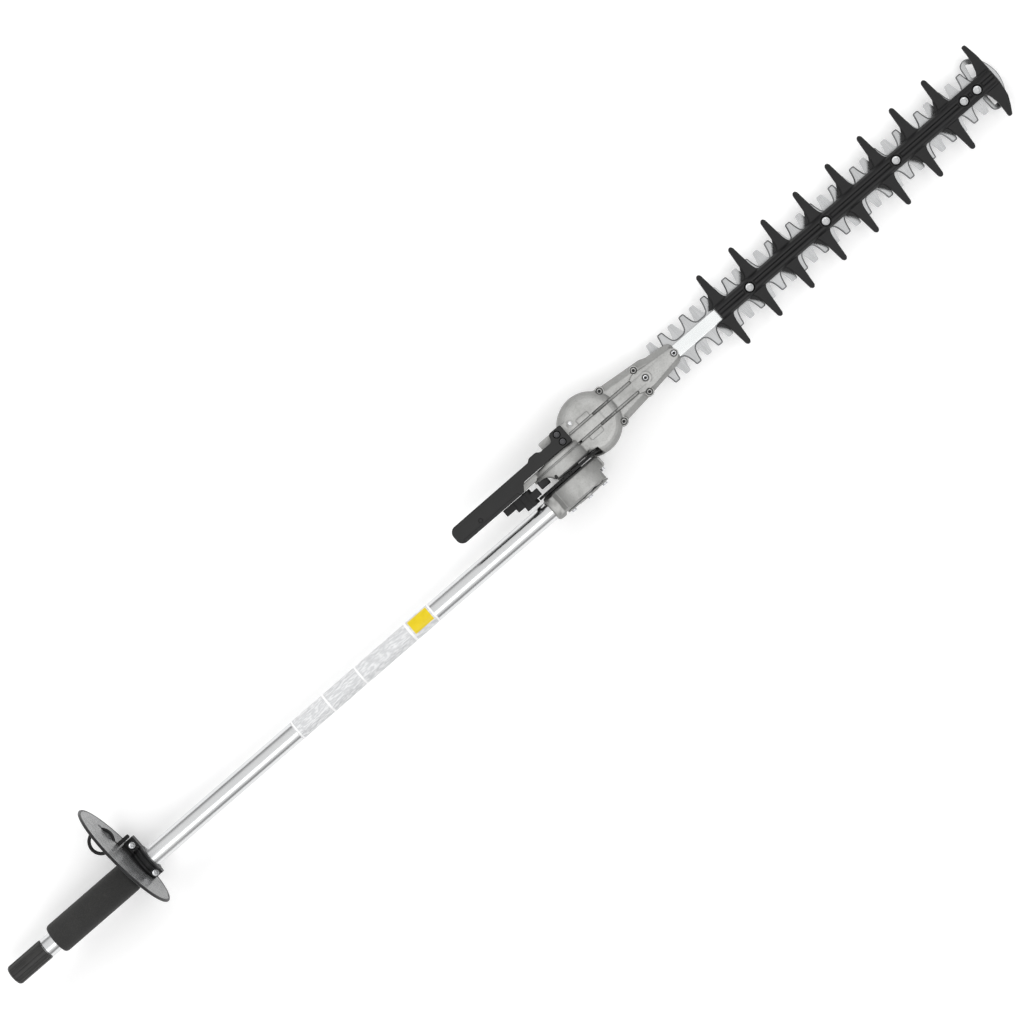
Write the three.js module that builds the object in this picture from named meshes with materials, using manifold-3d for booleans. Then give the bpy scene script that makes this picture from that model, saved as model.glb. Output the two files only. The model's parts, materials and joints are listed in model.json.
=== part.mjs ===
// Pole hedge trimmer: a cutter head that tilts beside the end of a long drive pole.
// Millimetres. The origin is the middle of the pole's capped drive end, +X runs along the
// pole to the cutter, the blades lie in a plane parallel to XY, and +Z is up.
import * as THREE from 'three';
import { mergeVertices } from 'three/addons/utils/BufferGeometryUtils.js';
import Module from 'manifold-3d';

const wasm = await Module();
wasm.setup();

// ---- driving dimensions ------------------------------------------------------------
const GAP = 0.3;                       // clearance between neighbouring solids
const FLOOR_Z = -46;                   // lowest plane: case foot, index plate and guard disc
const SPLIT = { upper: -17.0, lower: -17.3 };

const TUBE = { radius: 12.5, bore: 11, neck: 10.6, neckBore: 9.1, neckEnd: 50, start: 5.3, end: 838 };
const CAP = { length: 49, radius: 12.8, bore: 10.9, floor: 3 };
const GRIP = { from: 65, to: 179, radius: 19 };
const DISC = { x: 191, y: 22, radius: 73, lean: THREE.MathUtils.degToRad(4) };
const RING = { x: 177.5, y: 51.6, z: 10, radius: 14, wire: 2.1 };
const CLAMP = { from: 197, to: 211, radius: 19, low: -21.5, high: 33, screws: [-16.5, 25] };
const SHAFT_R = 4;
const BEARING = { outer: 11, seat: 11.3, width: 7 };
const BUSH_X = [170, 400, 630];
const SCREW_HOLE = 2.4;                // clearance hole for the small screws
const SCREW_SINK = 4.2;                // counterbore for their heads
const HEAD_SINK = 5;                   // how far the heads of the case and handle screws are sunk

const PIVOT_X = 866;                   // tilt axis, parallel to Y
const CASE = { radius: 36, neck: 16.2, from: 822, low: -13.3, high: 15, chamber: 16 };
const COVER = { radius: 33, low: -16.2, high: -13.6, screwReach: 27, screwHole: 2.3 };
const PLATE = { radius: 46, near: 16.3, far: 19.7, bore: 15.4, notchStep: 15 };
const TRUNNION_R = 15;

const CRANK = { x: 920.5, y: 44.3, gearRadius: 21, pinionRadius: 7, throwRadius: 8, pinR: 4, journal: 5 };
const DOME = { x: 920.5, y: 45.8, radius: 38, top: 22 };
const NOSE = { end: 1052.7, bottom: -33, top: -6, slope: THREE.MathUtils.degToRad(9.1), ribRise: 3.5 };
const HOLLOW = {
  tilt: 48.5,                          // room for the index plate as the head tilts
  trunnion: 15.4,
  gears: 16.8,
  crankGear: { radius: 27, z: [-17.5, 10] },
  cranks: { radius: 35, z: [-34.8, -16.2] },
  foot: { outer: 34, inner: 15, z: [-43, -34] },
  rods: { x: [945, 992], y: [30, 59], z: [-32.2, -16.6] },
  blades: { x: [985, 1100], y: [0, 100], z: [-27.3, SPLIT.upper] },
};
const MITRE = { teeth: 14, radius: 10, face: 5 };
const HEAD_GEAR_BACK = 3.4;            // set back so that its teeth clear the cross gear as the head tilts

const BLADE = { thick: 2.2, tail: 962, end: 1531, low: 34.8, high: 54.3, tip: 28, pitch: 32.8, teeth: 15,
  slotR: 2.9 };
const UPPER_BLADE_Z = -24.2;
const LOWER_BLADE_Z = -26.8;
const TRAVEL = CRANK.throwRadius;
const ROD_PIN_X = 976;
const BAR = { from: 992, to: 1540, half: 7.6, z: [-21.7, -17.3] };
const GUARD = { from: 1118, to: 1542, y: 44.8, half: 10, top: -8, spikeTop: -12.5, reach: 49, pitch: 49.3,
  spikes: 8, upperFirst: 1128, lowerFirst: 1123 };
const BAR_HOLE = 2.6;                  // hole through guard, bar and tip plate for a bar screw
const BAR_SCREWS = [1164.9, 1281.9, 1389.4, 1493.8, 1513.8];
const NOSE_SCREWS = [1004.3, 1048.2];
const CASE_SCREWS = [[953.5, 67.3], [999.3, 59.7], [997.6, 29], [952.4, 22.5]];

const HANDLE = { from: 717, to: 890, low: 36, high: 58.6, bottom: 22.5, top: 34.5 };
const HANDLE_SCREWS = [[883, 51], [883, 61.5]];
const LEVER = { x: 812, z: 16, pinR: 2, hubR: 6.5 };

const ROUND = 24;
const MEDIUM = 16;
const SMALL = 8;

// ---- solids ------------------------------------------------------------------------
function solid(geometry) {
  const bare = geometry.clone();
  bare.deleteAttribute('normal');
  bare.deleteAttribute('uv');
  const merged = mergeVertices(bare, 1e-4);
  const corners = [];
  for (let i = 0; i < merged.index.count; i += 3) {
    const [a, b, c] = [0, 1, 2].map((k) => merged.index.getX(i + k));
    if (a !== b && b !== c && c !== a) corners.push(a, b, c);
  }
  const vertProperties = new Float32Array(merged.attributes.position.array);
  const build = (tris) => new wasm.Manifold(
    new wasm.Mesh({ numProp: 3, vertProperties, triVerts: new Uint32Array(tris) }));
  const made = build(corners);
  return made.volume() > 0 ? made : build(corners.reverse());
}

const join = (first, ...rest) => rest.reduce((sum, next) => sum.add(next), first);
const cut = (first, ...rest) => rest.reduce((left, next) => left.subtract(next), first);

function block([x0, x1], [y0, y1], [z0, z1]) {
  const box = new THREE.BoxGeometry(x1 - x0, y1 - y0, z1 - z0);
  return solid(box.translate((x0 + x1) / 2, (y0 + y1) / 2, (z0 + z1) / 2));
}

// A round bar along one axis; centre holds the other two coordinates in x, y, z order.
function bar(axis, radius, [from, to], [c1, c2], segments = MEDIUM) {
  const geometry = new THREE.CylinderGeometry(radius, radius, to - from, segments);
  const mid = (from + to) / 2;
  if (axis === 'x') geometry.rotateZ(-Math.PI / 2).translate(mid, c1, c2);
  if (axis === 'y') geometry.translate(c1, mid, c2);
  if (axis === 'z') geometry.rotateX(Math.PI / 2).translate(c1, c2, mid);
  return solid(geometry);
}

function ring(axis, outer, inner, span, centre, segments = MEDIUM) {
  const [from, to] = span;
  return cut(bar(axis, outer, span, centre, segments),
    bar(axis, inner, [from - 1, to + 1], centre, segments));
}

// A profile of [radius, distance] points turned about the X axis.
function turned(profile, segments = ROUND) {
  const points = [...profile, profile[0]].map(([r, d]) => new THREE.Vector2(r, d));
  return solid(new THREE.LatheGeometry(points, segments).rotateZ(-Math.PI / 2));
}

function outline(points) {
  return new THREE.Shape(points.map(([x, y]) => new THREE.Vector2(x, y)));
}

// An XY outline with thickness in Z.
function plate(points, [z0, z1]) {
  const geometry = new THREE.ExtrudeGeometry(outline(points), { depth: z1 - z0, bevelEnabled: false });
  return solid(geometry.translate(0, 0, z0));
}

// An XZ outline with thickness in Y.
function sidePlate(points, [y0, y1]) {
  const geometry = new THREE.ExtrudeGeometry(outline(points), { depth: y1 - y0, bevelEnabled: false });
  return solid(geometry.rotateX(Math.PI / 2).translate(0, y1, 0));
}

// A YZ outline with thickness in X.
function crossPlate(points, [x0, x1]) {
  const geometry = new THREE.ExtrudeGeometry(outline(points), { depth: x1 - x0, bevelEnabled: false });
  geometry.rotateX(Math.PI / 2).rotateZ(Math.PI / 2);
  return solid(geometry.translate(x0, 0, 0));
}

function slotHole(x, y, halfTravel, radius, [z0, z1]) {
  return join(block([x - halfTravel, x + halfTravel], [y - radius, y + radius], [z0, z1]),
    bar('z', radius, [z0, z1], [x - halfTravel, y], SMALL),
    bar('z', radius, [z0, z1], [x + halfTravel, y], SMALL));
}

// A straight bevel gear whose pitch cone has its point at the origin and opens along +Z.
function bevelGear({ teeth, radius, mateRadius, face, rim, boreRadius, phase = 0 }) {
  const cone = Math.atan2(radius, mateRadius);
  const distance = Math.hypot(radius, mateRadius);
  const module = (2 * radius) / teeth;
  const tipCone = cone + Math.atan((0.75 * module) / distance);
  const rootCone = cone - Math.atan((1.15 * module) / distance);
  const half = (Math.PI * module) / 2 / radius;
  const corners = [];
  for (let i = 0; i < teeth; i += 1) {
    const middle = phase + (i * 2 * Math.PI) / teeth;
    corners.push([middle - 0.66 * half, rootCone], [middle - 0.2 * half, tipCone]);
    corners.push([middle + 0.2 * half, tipCone], [middle + 0.66 * half, rootCone]);
  }
  const points = corners.map(([angle, slope]) => [
    mateRadius * Math.tan(slope) * Math.cos(angle), mateRadius * Math.tan(slope) * Math.sin(angle)]);
  const toothed = new THREE.ExtrudeGeometry(outline(points), { depth: 1, bevelEnabled: false });
  const position = toothed.attributes.position;
  for (let i = 0; i < position.count; i += 1) {
    const scale = position.getZ(i) > 0.5 ? 1.6 : 0.4;
    position.setXYZ(i, position.getX(i) * scale, position.getY(i) * scale, mateRadius * scale);
  }
  const across = [Math.cos(cone), -Math.sin(cone)];
  const at = (d, h) => [
    d * Math.sin(cone) + h * across[0], d * Math.cos(cone) + h * across[1]];
  const inner = distance - face;
  const innerRoot = at(inner, -1.6 * module);
  const blank = [[0, innerRoot[1]], innerRoot, at(inner, 2 * module), at(distance, 2 * module),
    at(distance, -rim), [0, at(distance, -rim)[1]]];
  const profile = [...blank, blank[0]].map(([r, d]) => new THREE.Vector2(Math.max(r, 0), d));
  const body = solid(new THREE.LatheGeometry(profile, teeth > 8 ? teeth : 16).rotateX(Math.PI / 2));
  const gear = solid(toothed).intersect(body);
  return boreRadius ? cut(gear, bar('z', boreRadius, [-60, 60], [0, 0])) : gear;
}

// ---- scene graph -------------------------------------------------------------------
const finishes = {
  rubber: { color: 0x33332f, roughness: 0.85, metalness: 0 },
  foam: { color: 0x444442, roughness: 0.95, metalness: 0 },
  smoke: { color: 0x6d6f70, roughness: 0.3, metalness: 0 },
  plastic: { color: 0x1d1d1d, roughness: 0.5, metalness: 0 },
  charcoal: { color: 0x3a3a3a, roughness: 0.7, metalness: 0 },
  aluminium: { color: 0xd9dcde, roughness: 0.2, metalness: 1 },
  casting: { color: 0xb8b8b6, roughness: 0.6, metalness: 0.8 },
  steel: { color: 0xd2d4d6, roughness: 0.3, metalness: 1 },
  bright: { color: 0xeef4f4, roughness: 0.15, metalness: 1 },
  gearSteel: { color: 0x8d8f92, roughness: 0.4, metalness: 1 },
  polymer: { color: 0xe3ded0, roughness: 0.6, metalness: 0 },
};

function add(parent, name, made, finish, at = [0, 0, 0], turn = [0, 0, 0]) {
  const { vertProperties, triVerts } = made.getMesh();
  const geometry = new THREE.BufferGeometry();
  geometry.setAttribute('position', new THREE.BufferAttribute(vertProperties, 3));
  geometry.setIndex(new THREE.BufferAttribute(triVerts, 1));
  geometry.computeVertexNormals();
  const mesh = new THREE.Mesh(geometry, new THREE.MeshStandardMaterial(finishes[finish]));
  mesh.name = name;
  mesh.position.set(...at);
  mesh.rotation.set(...turn);
  parent.add(mesh);
}

const QUARTER = Math.PI / 2;

function bearingRing(shaftRadius = SHAFT_R) {
  return ring('z', BEARING.outer, shaftRadius + GAP, [0, BEARING.width], [0, 0]);
}

// A round-headed screw hanging down from the origin, its head above.
function screw(headR, headH, shankR, length) {
  return join(bar('z', headR, [0, headH], [0, 0], SMALL),
    bar('z', shankR, [-length, 0.1], [0, 0], SMALL));
}

// ---- pole side ---------------------------------------------------------------------
function endCap() {
  const { length, radius, bore, floor } = CAP;
  return turned([[0, 0], [radius - 2.5, 0], [radius, 2.5], [radius, length],
    [bore, length], [bore, floor], [0, floor]]);
}

function poleTube() {
  const { radius, bore, neck, neckBore, neckEnd, start, end } = TUBE;
  return turned([[neckBore, start], [neck, start], [neck, neckEnd], [radius, neckEnd + 1],
    [radius, end], [bore, end], [bore, neckEnd + 4], [neckBore, neckEnd + 2]]);
}

function gripSleeve() {
  const { from, to, radius } = GRIP;
  const bore = TUBE.radius + GAP;
  return turned([[bore, from], [radius - 3, from], [radius, from + 4], [radius, to - 4],
    [radius - 3, to], [bore, to]]);
}

function guardDisc() {
  const { y, radius } = DISC;
  const centre = [y, FLOOR_Z + radius];
  const dish = join(bar('x', radius, [-1.3, 1.3], centre, 40),
    ring('x', radius, radius - 2.4, [-2.2, 2.2], centre, 40));
  return cut(dish, bar('x', TUBE.radius + 1.6, [-9, 9], [0, 0]),
    block([-9, 9], [32.6, 69], [6.4, 13.6]));
}

function hangingRing() {
  const { x, y, z, radius, wire } = RING;
  const loop = new THREE.TorusGeometry(radius, wire, 8, 20).translate(x, y, z);
  return join(solid(loop), block([181, 209], [33.6, 38.4], [7.8, 12.2]));
}

function clampHalf(side) {
  const { from, to, radius, low, high, screws } = CLAMP;
  const reach = side > 0 ? [GAP / 2, 40] : [-40, -GAP / 2];
  const body = join(bar('x', radius, [from, to], [0, 0], ROUND),
    block([from, to], [low, high], [-8, 8]));
  const holes = screws.flatMap((y) => [
    bar('z', SCREW_HOLE, [-30, 30], [(from + to) / 2, y], SMALL),
    bar('z', 4.4, [8, 30], [(from + to) / 2, y], SMALL),
    bar('z', 4.4, [-30, -8], [(from + to) / 2, y], SMALL)]);
  return cut(body, bar('x', TUBE.radius + GAP, [from - 1, to + 1], [0, 0]), ...holes)
    .intersect(block([from - 1, to + 1], [low - 1, high + 1], reach));
}

function shaftBush() {
  const inner = SHAFT_R + GAP;
  const outer = TUBE.bore - GAP;
  return turned([[inner, -12], [outer - 1, -12], [outer, -10], [outer, 10], [outer - 1, 12], [inner, 12]],
    MEDIUM);
}

function driveCoupler() {
  const body = bar('x', 7.5, [12, 36], [0, 0]);
  return cut(body, bar('x', SHAFT_R + GAP, [22, 40], [0, 0]),
    block([5, 22.5], [-3.5, 3.5], [-3.5, 3.5]));
}

function poleGearCase() {
  const { radius, neck, from, low, high, chamber } = CASE;
  const body = join(bar('y', radius, [low, high], [PIVOT_X, 0], 32),
    bar('x', neck, [from, PIVOT_X - 6], [0, 0], ROUND),
    bar('y', TRUNNION_R, [high - 1, 32], [PIVOT_X, 0], ROUND),
    block([893, 903.6], [-1, 12], [-9, 9]));
  return cut(body, bar('y', COVER.radius + GAP, [low - 7, low], [PIVOT_X, 0], 32),
    bar('x', TUBE.radius + GAP, [from - 2, TUBE.end + GAP], [0, 0]),
    bar('x', BEARING.seat, [837, 848.2], [0, 0]),
    bar('x', 8, [848, 856], [0, 0]),
    bar('y', chamber, [low - 0.7, 12.4], [PIVOT_X, 0]),
    bar('y', 6.5, [12, high], [PIVOT_X, 0]),
    bar('y', BEARING.seat, [high - 1, 33], [PIVOT_X, 0]),
    ...coverScrewHoles());
}

function coverScrewPlaces() {
  return [QUARTER, -QUARTER / 3, -QUARTER * 5 / 3].map((angle) => [
    PIVOT_X + COVER.screwReach * Math.cos(angle), COVER.screwReach * Math.sin(angle)]);
}

function coverScrewHoles() {
  return coverScrewPlaces().map(([x, z]) => bar('y', COVER.screwHole, [-20, -3], [x, z], SMALL));
}

function gearCover() {
  const { radius, low, high } = COVER;
  const body = join(bar('y', radius, [low, high], [PIVOT_X, 0], 32),
    bar('y', CASE.chamber - 0.4, [high - 0.1, -10.5], [PIVOT_X, 0]));
  return cut(body, bar('y', 12, [-13, -8], [PIVOT_X, 0]), ...coverScrewHoles());
}

function indexPlate() {
  const { radius, near, far, bore, notchStep } = PLATE;
  const notches = [];
  for (let degrees = 90; degrees <= 225; degrees += notchStep) {
    const angle = THREE.MathUtils.degToRad(degrees);
    notches.push(bar('y', 2.6, [near - 1, far + 1],
      [PIVOT_X + radius * Math.cos(angle), radius * Math.sin(angle)], 8));
  }
  return cut(ring('y', radius, bore, [near, far], [PIVOT_X, 0], 40), ...notches);
}

function mitreGear() {
  const { teeth, radius, face } = MITRE;
  return bevelGear({ teeth, radius, mateRadius: radius, face, rim: 2.6, boreRadius: SHAFT_R + GAP });
}

function buildPole(parent) {
  add(parent, 'end_cap', endCap(), 'rubber');
  add(parent, 'pole_tube', poleTube(), 'aluminium');
  add(parent, 'grip_sleeve', gripSleeve(), 'foam');
  add(parent, 'guard_disc', guardDisc(), 'smoke', [DISC.x, 0, 0], [0, 0, DISC.lean]);
  add(parent, 'hanging_ring', hangingRing(), 'plastic');
  add(parent, 'clamp_upper', clampHalf(1), 'plastic');
  add(parent, 'clamp_lower', clampHalf(-1), 'plastic');
  CLAMP.screws.forEach((y, i) => {
    add(parent, `clamp_screw_${i + 1}`, screw(4, 3, 2, 19), 'bright',
      [(CLAMP.from + CLAMP.to) / 2, y, 8 + GAP]);
  });
  BUSH_X.forEach((x, i) => {
    add(parent, `shaft_bush_${i + 1}`, shaftBush(), 'polymer', [x, 0, 0]);
  });
  add(parent, 'pinion_bearing', bearingRing(), 'gearSteel', [840.5, 0, 0], [0, QUARTER, 0]);
  add(parent, 'pole_gear_case', poleGearCase(), 'casting');
  add(parent, 'gear_cover', gearCover(), 'casting');
  coverScrewPlaces().forEach(([x, z], i) => {
    add(parent, `cover_screw_${i + 1}`, screw(3.6, 2.6, 2, 10), 'bright',
      [x, COVER.low - GAP, z], [QUARTER, 0, 0]);
  });
  add(parent, 'index_plate', indexPlate(), 'plastic');
  [14.6, 23.8].forEach((y, i) => {
    add(parent, `cross_bearing_${i + 1}`, bearingRing(), 'gearSteel', [PIVOT_X, y, 0], [-QUARTER, 0, 0]);
  });
}

function buildDrive(parent) {
  add(parent, 'drive_shaft', bar('x', SHAFT_R, [23, 857], [0, 0], SMALL), 'gearSteel');
  add(parent, 'drive_coupler', driveCoupler(), 'gearSteel');
  add(parent, 'drive_pinion', mitreGear(), 'gearSteel', [PIVOT_X, 0, 0], [0, -QUARTER, 0]);
  add(parent, 'cross_shaft', bar('y', SHAFT_R, [-9, 37.5], [PIVOT_X, 0], SMALL), 'gearSteel');
  add(parent, 'cross_gear_inner', mitreGear(), 'gearSteel',
    [PIVOT_X, 0, 0], [-QUARTER, 0, 0]);
  add(parent, 'cross_gear_outer', mitreGear(), 'gearSteel',
    [PIVOT_X, CRANK.y, 0], [QUARTER, 0, 0]);
}

// ---- head --------------------------------------------------------------------------
function noseOutline() {
  return [[925, 10], [932, 11], [943.7, 16.8], [953, 20.3], [996, 24.9], [1048, 31.9], [1052.7, 36],
    [1052.7, 54], [1050, 57.6], [1042.3, 59.7], [1019, 62.1], [1013, 65], [996, 66.7], [956.4, 70.8],
    [950, 72], [938, 78], [925, 80]];
}

function headShell() {
  const { x, y, radius, top } = DOME;
  const domeProfile = [[0, FLOOR_Z], [radius - 1.5, FLOOR_Z], [radius, FLOOR_Z + 1.5], [radius, top - 10],
    [radius - 2.5, top - 4], [radius - 8, top], [0, top]];
  const profile = [...domeProfile, domeProfile[0]].map(([r, z]) => new THREE.Vector2(r, z));
  const dome = solid(new THREE.LatheGeometry(profile, 32).rotateX(QUARTER).translate(x, y, 0));
  const sky = new THREE.BoxGeometry(300, 120, 60).translate(0, 0, 30);
  const slope = solid(sky.rotateY(NOSE.slope).translate(NOSE.end, y, NOSE.top));
  const nose = cut(plate(noseOutline(), [NOSE.bottom, top]), slope);
  const ribSlope = slope.translate([0, 0, NOSE.ribRise]);
  const rib = cut(block([930, NOSE.end - 1.5], [38.4, 50.6], [-16, top]), ribSlope);
  const arm = bar('y', 38, [20.9, 44.4], [PIVOT_X, 0], 32);
  const chamber = join(bar('y', 20, [44, 58], [PIVOT_X, 0], ROUND),
    block([PIVOT_X, 900], [22, 66.7], [-20, top]));
  const finger = block([804, 836], [36.5, 44.4], [6, top]);
  const lug = block([860, 878], [57, 67.3], [-10, top]);
  return join(dome, nose, rib, arm, chamber, finger, lug);
}

function headHollows() {
  const { crankGear, cranks, foot, rods, blades } = HOLLOW;
  const pivot = [PIVOT_X, 0];
  const crank = [CRANK.x, CRANK.y];
  const dome = [DOME.x, DOME.y];
  const screwHoles = CASE_SCREWS.flatMap(([x, y]) => [
    bar('z', SCREW_HOLE, [-60, 40], [x, y], SMALL),
    bar('z', SCREW_SINK, [caseTop(x) - HEAD_SINK, 40], [x, y], SMALL)]);
  const noseHoles = NOSE_SCREWS.flatMap((x) => [
    bar('z', BAR_HOLE, [-60, 40], [x, CRANK.y], SMALL),
    bar('z', SCREW_SINK, [caseTop(x) + 0.5, 40], [x, CRANK.y], SMALL)]);
  return [
    bar('y', HOLLOW.tilt, [-30, 20.6], pivot, 32),
    bar('y', HOLLOW.trunnion, [20, 33], pivot, ROUND),
    bar('y', HOLLOW.gears, [32.2, 55.5], pivot, ROUND),
    bar('x', BEARING.seat, [877, 890], [CRANK.y, 0]),
    bar('x', 8.6, [888, 899], [CRANK.y, 0]),
    bar('z', crankGear.radius, crankGear.z, dome, ROUND),
    bar('z', cranks.radius, cranks.z, dome, ROUND),
    bar('z', BEARING.seat, [9, 18.6], crank),
    bar('z', BEARING.seat, [-42.8, -34], crank),
    ring('z', foot.outer, foot.inner, foot.z, crank, ROUND),
    block(rods.x, rods.y, rods.z),
    block(blades.x, blades.y, blades.z),
    bar('y', LEVER.pinR + GAP, [36, 45], [LEVER.x, LEVER.z], SMALL),
    ...HANDLE_SCREWS.map(([x, y]) => bar('z', 2.3, [12, 30], [x, y], SMALL)),
    ...screwHoles, ...noseHoles,
  ];
}

function caseTop(x) {
  return NOSE.top + (NOSE.end - x) * Math.tan(NOSE.slope);
}

function headCases() {
  const shell = cut(headShell(), ...headHollows());
  const all = [[700, 1200], [-100, 200]];
  return {
    upper: shell.intersect(block(...all, [SPLIT.upper, 60])),
    lower: shell.intersect(block(...all, [-80, SPLIT.lower])),
  };
}

function handleBar() {
  const { from, to, low, high, bottom, top } = HANDLE;
  const edge = 44.9;
  const body = plate([[from + 5, low], [812, low], [818, edge], [to, edge], [to, 67.9], [876, 67.9],
    [874, high], [from + 5, high], [from, high - 5], [from, low + 5]], [bottom, top]);
  const holes = HANDLE_SCREWS.map(([x, y]) => bar('z', SCREW_HOLE, [0, 60], [x, y], SMALL));
  const sinks = HANDLE_SCREWS.map(([x, y]) => (
    bar('z', SCREW_SINK, [top - HEAD_SINK, 60], [x, y], SMALL)));
  return cut(body, ...holes, ...sinks);
}

function lockLever() {
  const { x, z, hubR } = LEVER;
  const hub = join(bar('y', hubR, [16, 30.5], [x, z]), block([801, 812], [16, 30.5], [z - 5, z + 6]));
  const arm = sidePlate([[792, z], [803, z - 4], [803, z + 6.4], [792, z + 9]], [22, 30.5]);
  const thumb = sidePlate([[779, z + 5], [794, z], [794, z + 9], [779, z + 13]], [27, 35.6]);
  const pawl = sidePlate([[x - 5, z - 2], [x - 1, z - 17], [x + 7.2, z - 17.5], [x + 7.2, z - 14.5],
    [x + 3, z - 12], [x + 3, z - 2]], [16, 20.2]);
  return cut(join(hub, arm, thumb, pawl), bar('y', LEVER.pinR + GAP, [10, 40], [x, z], SMALL));
}

function leverSpring() {
  const turns = 2.6;
  const steps = 30;
  const path = [];
  for (let i = 0; i <= steps; i += 1) {
    const angle = (i / steps) * turns * 2 * Math.PI;
    path.push(new THREE.Vector3(3.9 * Math.cos(angle), 4.2 * (i / steps), 3.9 * Math.sin(angle)));
  }
  const wire = outline([0, 1, 2, 3, 4].map((k) => [
    0.6 * Math.cos(k * Math.PI / 2.5), 0.6 * Math.sin(k * Math.PI / 2.5)]));
  const curve = new THREE.CatmullRomCurve3(path);
  return solid(new THREE.ExtrudeGeometry(wire, { steps: 34, extrudePath: curve }));
}

// Teeth on both edges of a blade, drawn about their own middle lines.
function bladeOutline(topFirst, bottomFirst) {
  const { tail, end, low, high, tip, pitch, teeth } = BLADE;
  const tooth = (x, base, sign) => [[x - 8.6, base], [x - 6.6, base + sign * 1.4],
    [x - 3.2, CRANK.y + sign * tip], [x + 3.2, CRANK.y + sign * tip],
    [x + 6.6, base + sign * 1.4], [x + 8.6, base]];
  const bottom = [];
  const top = [];
  for (let i = 0; i < teeth; i += 1) {
    bottom.push(...tooth(bottomFirst + i * pitch, low, -1));
    top.push(...tooth(topFirst + i * pitch, high, 1));
  }
  return [[tail, low + 2], [tail + 2, low], ...bottom, [end - 2, low], [end, low + 4],
    [end, high - 4], [end - 2, high], ...top.reverse(), [tail + 2, high], [tail, high - 2]];
}

function blade(topFirst, bottomFirst, z) {
  const span = [z - 2, z + BLADE.thick + 2];
  const slots = [...NOSE_SCREWS, ...BAR_SCREWS.slice(0, 3)].map((x) => (
    slotHole(x, CRANK.y, TRAVEL, BLADE.slotR, span)));
  const [beforeLast, final] = BAR_SCREWS.slice(3);
  const last = slotHole((beforeLast + final) / 2, CRANK.y, TRAVEL + (final - beforeLast) / 2,
    BLADE.slotR, span);
  return cut(plate(bladeOutline(topFirst, bottomFirst), [z, z + BLADE.thick]), ...slots, last,
    bar('z', 3.3, span, [ROD_PIN_X, CRANK.y], SMALL));
}

function connectingRod([z0, z1], [pin0, pin1]) {
  const clear = CRANK.pinR + 0.5;
  const reach = 2 * TRAVEL + clear;
  const wide = TRAVEL + clear;
  const hole = join(block([CRANK.x - TRAVEL, CRANK.x + TRAVEL], [CRANK.y - wide, CRANK.y + wide],
    [z0 - 1, z1 + 1]), ...[-1, 1].map((side) => (
    bar('z', wide, [z0 - 1, z1 + 1], [CRANK.x + side * (reach - wide), CRANK.y]))));
  const eye = join(block([CRANK.x - TRAVEL, CRANK.x + TRAVEL],
    [CRANK.y - wide - 4, CRANK.y + wide + 4], [z0, z1]), ...[-1, 1].map((side) => (
    bar('z', wide + 4, [z0, z1], [CRANK.x + side * (reach - wide), CRANK.y]))));
  return join(cut(eye, hole), block([CRANK.x + reach + 1, ROD_PIN_X], [CRANK.y - 6, CRANK.y + 6], [z0, z1]),
    bar('z', 7.5, [z0, z1], [ROD_PIN_X, CRANK.y]), bar('z', 3, [pin0, pin1], [ROD_PIN_X, CRANK.y], SMALL));
}

function guideBar() {
  const { from, to, half, z } = BAR;
  const holes = [...NOSE_SCREWS, ...BAR_SCREWS].map((x) => (
    bar('z', BAR_HOLE, [z[0] - 1, z[1] + 1], [x, CRANK.y], SMALL)));
  return cut(plate([[from, CRANK.y - half], [to - 4, CRANK.y - half], [to, CRANK.y - half + 4],
    [to, CRANK.y + half - 4], [to - 4, CRANK.y + half], [from, CRANK.y + half]], z), ...holes);
}

// A tapered spike on one side (1 or -1) of the guard, wider towards its foot.
function spikePoints(x, side) {
  const across = (d) => GUARD.y + side * d;
  return [[x - 12, across(9)], [x - 5.2, across(24)], [x - 2.9, across(GUARD.reach - 1.5)],
    [x - 1.5, across(GUARD.reach)], [x + 1.5, across(GUARD.reach)], [x + 2.9, across(GUARD.reach - 1.5)],
    [x + 5.8, across(24)], [x + 9.5, across(9)]];
}

function spikedGuard() {
  const { from, to, y, half, top, spikeTop, pitch } = GUARD;
  const base = SPLIT.upper;
  const section = [[y - half, base], [y + half, base], [y + half, spikeTop], [y + 6, top],
    [y + 1.8, top], [y + 1.8, top - 1.8], [y - 1.8, top - 1.8], [y - 1.8, top], [y - 6, top],
    [y - half, spikeTop]];
  const spikes = [];
  for (let i = 0; i < GUARD.spikes; i += 1) {
    spikes.push(plate(spikePoints(GUARD.upperFirst + i * pitch, 1), [base, spikeTop]));
    spikes.push(plate(spikePoints(GUARD.lowerFirst + i * pitch, -1), [base, spikeTop]));
  }
  const end = plate([[1530, y + 9], [1532, y + 28], [1532.5, y + 49], [1538, y + 49], [1541, y + 30],
    [to, y + 8], [to, y - 8], [1539, y - 28], [1527, y - 49], [1522.5, y - 48], [1524, y - 28],
    [1519, y - 9], [1486, y - 11], [1486, y + 11]], [base, spikeTop]);
  const holes = BAR_SCREWS.flatMap((x) => [
    bar('z', BAR_HOLE, [base - 1, 0], [x, CRANK.y], SMALL),
    bar('z', 5.4, [spikeTop, 0], [x, CRANK.y], SMALL)]);
  const spine = crossPlate(section, [from, to - 1]);
  return cut(join(spine, end, ...spikes), ...holes);
}

function tipGuard() {
  const span = [-31.5, -29];
  const body = plate([[1504, 38], [1516, 36], [1517, 14], [1524, 10], [1537, 14], [1546, 28],
    [1550, 44], [1547, 62], [1539, 76], [1528, 82], [1519, 78], [1516, 52], [1504, 50]], span);
  const windows = [plate([[1522, 58], [1540, 56], [1535, 70], [1526, 76]], [-40, 0]),
    plate([[1522, 17], [1534, 20], [1541, 32], [1522, 32]], [-40, 0])];
  return cut(body, ...windows, bar('z', BAR_HOLE, [-40, 0], [BAR_SCREWS[4], CRANK.y], SMALL));
}

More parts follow.
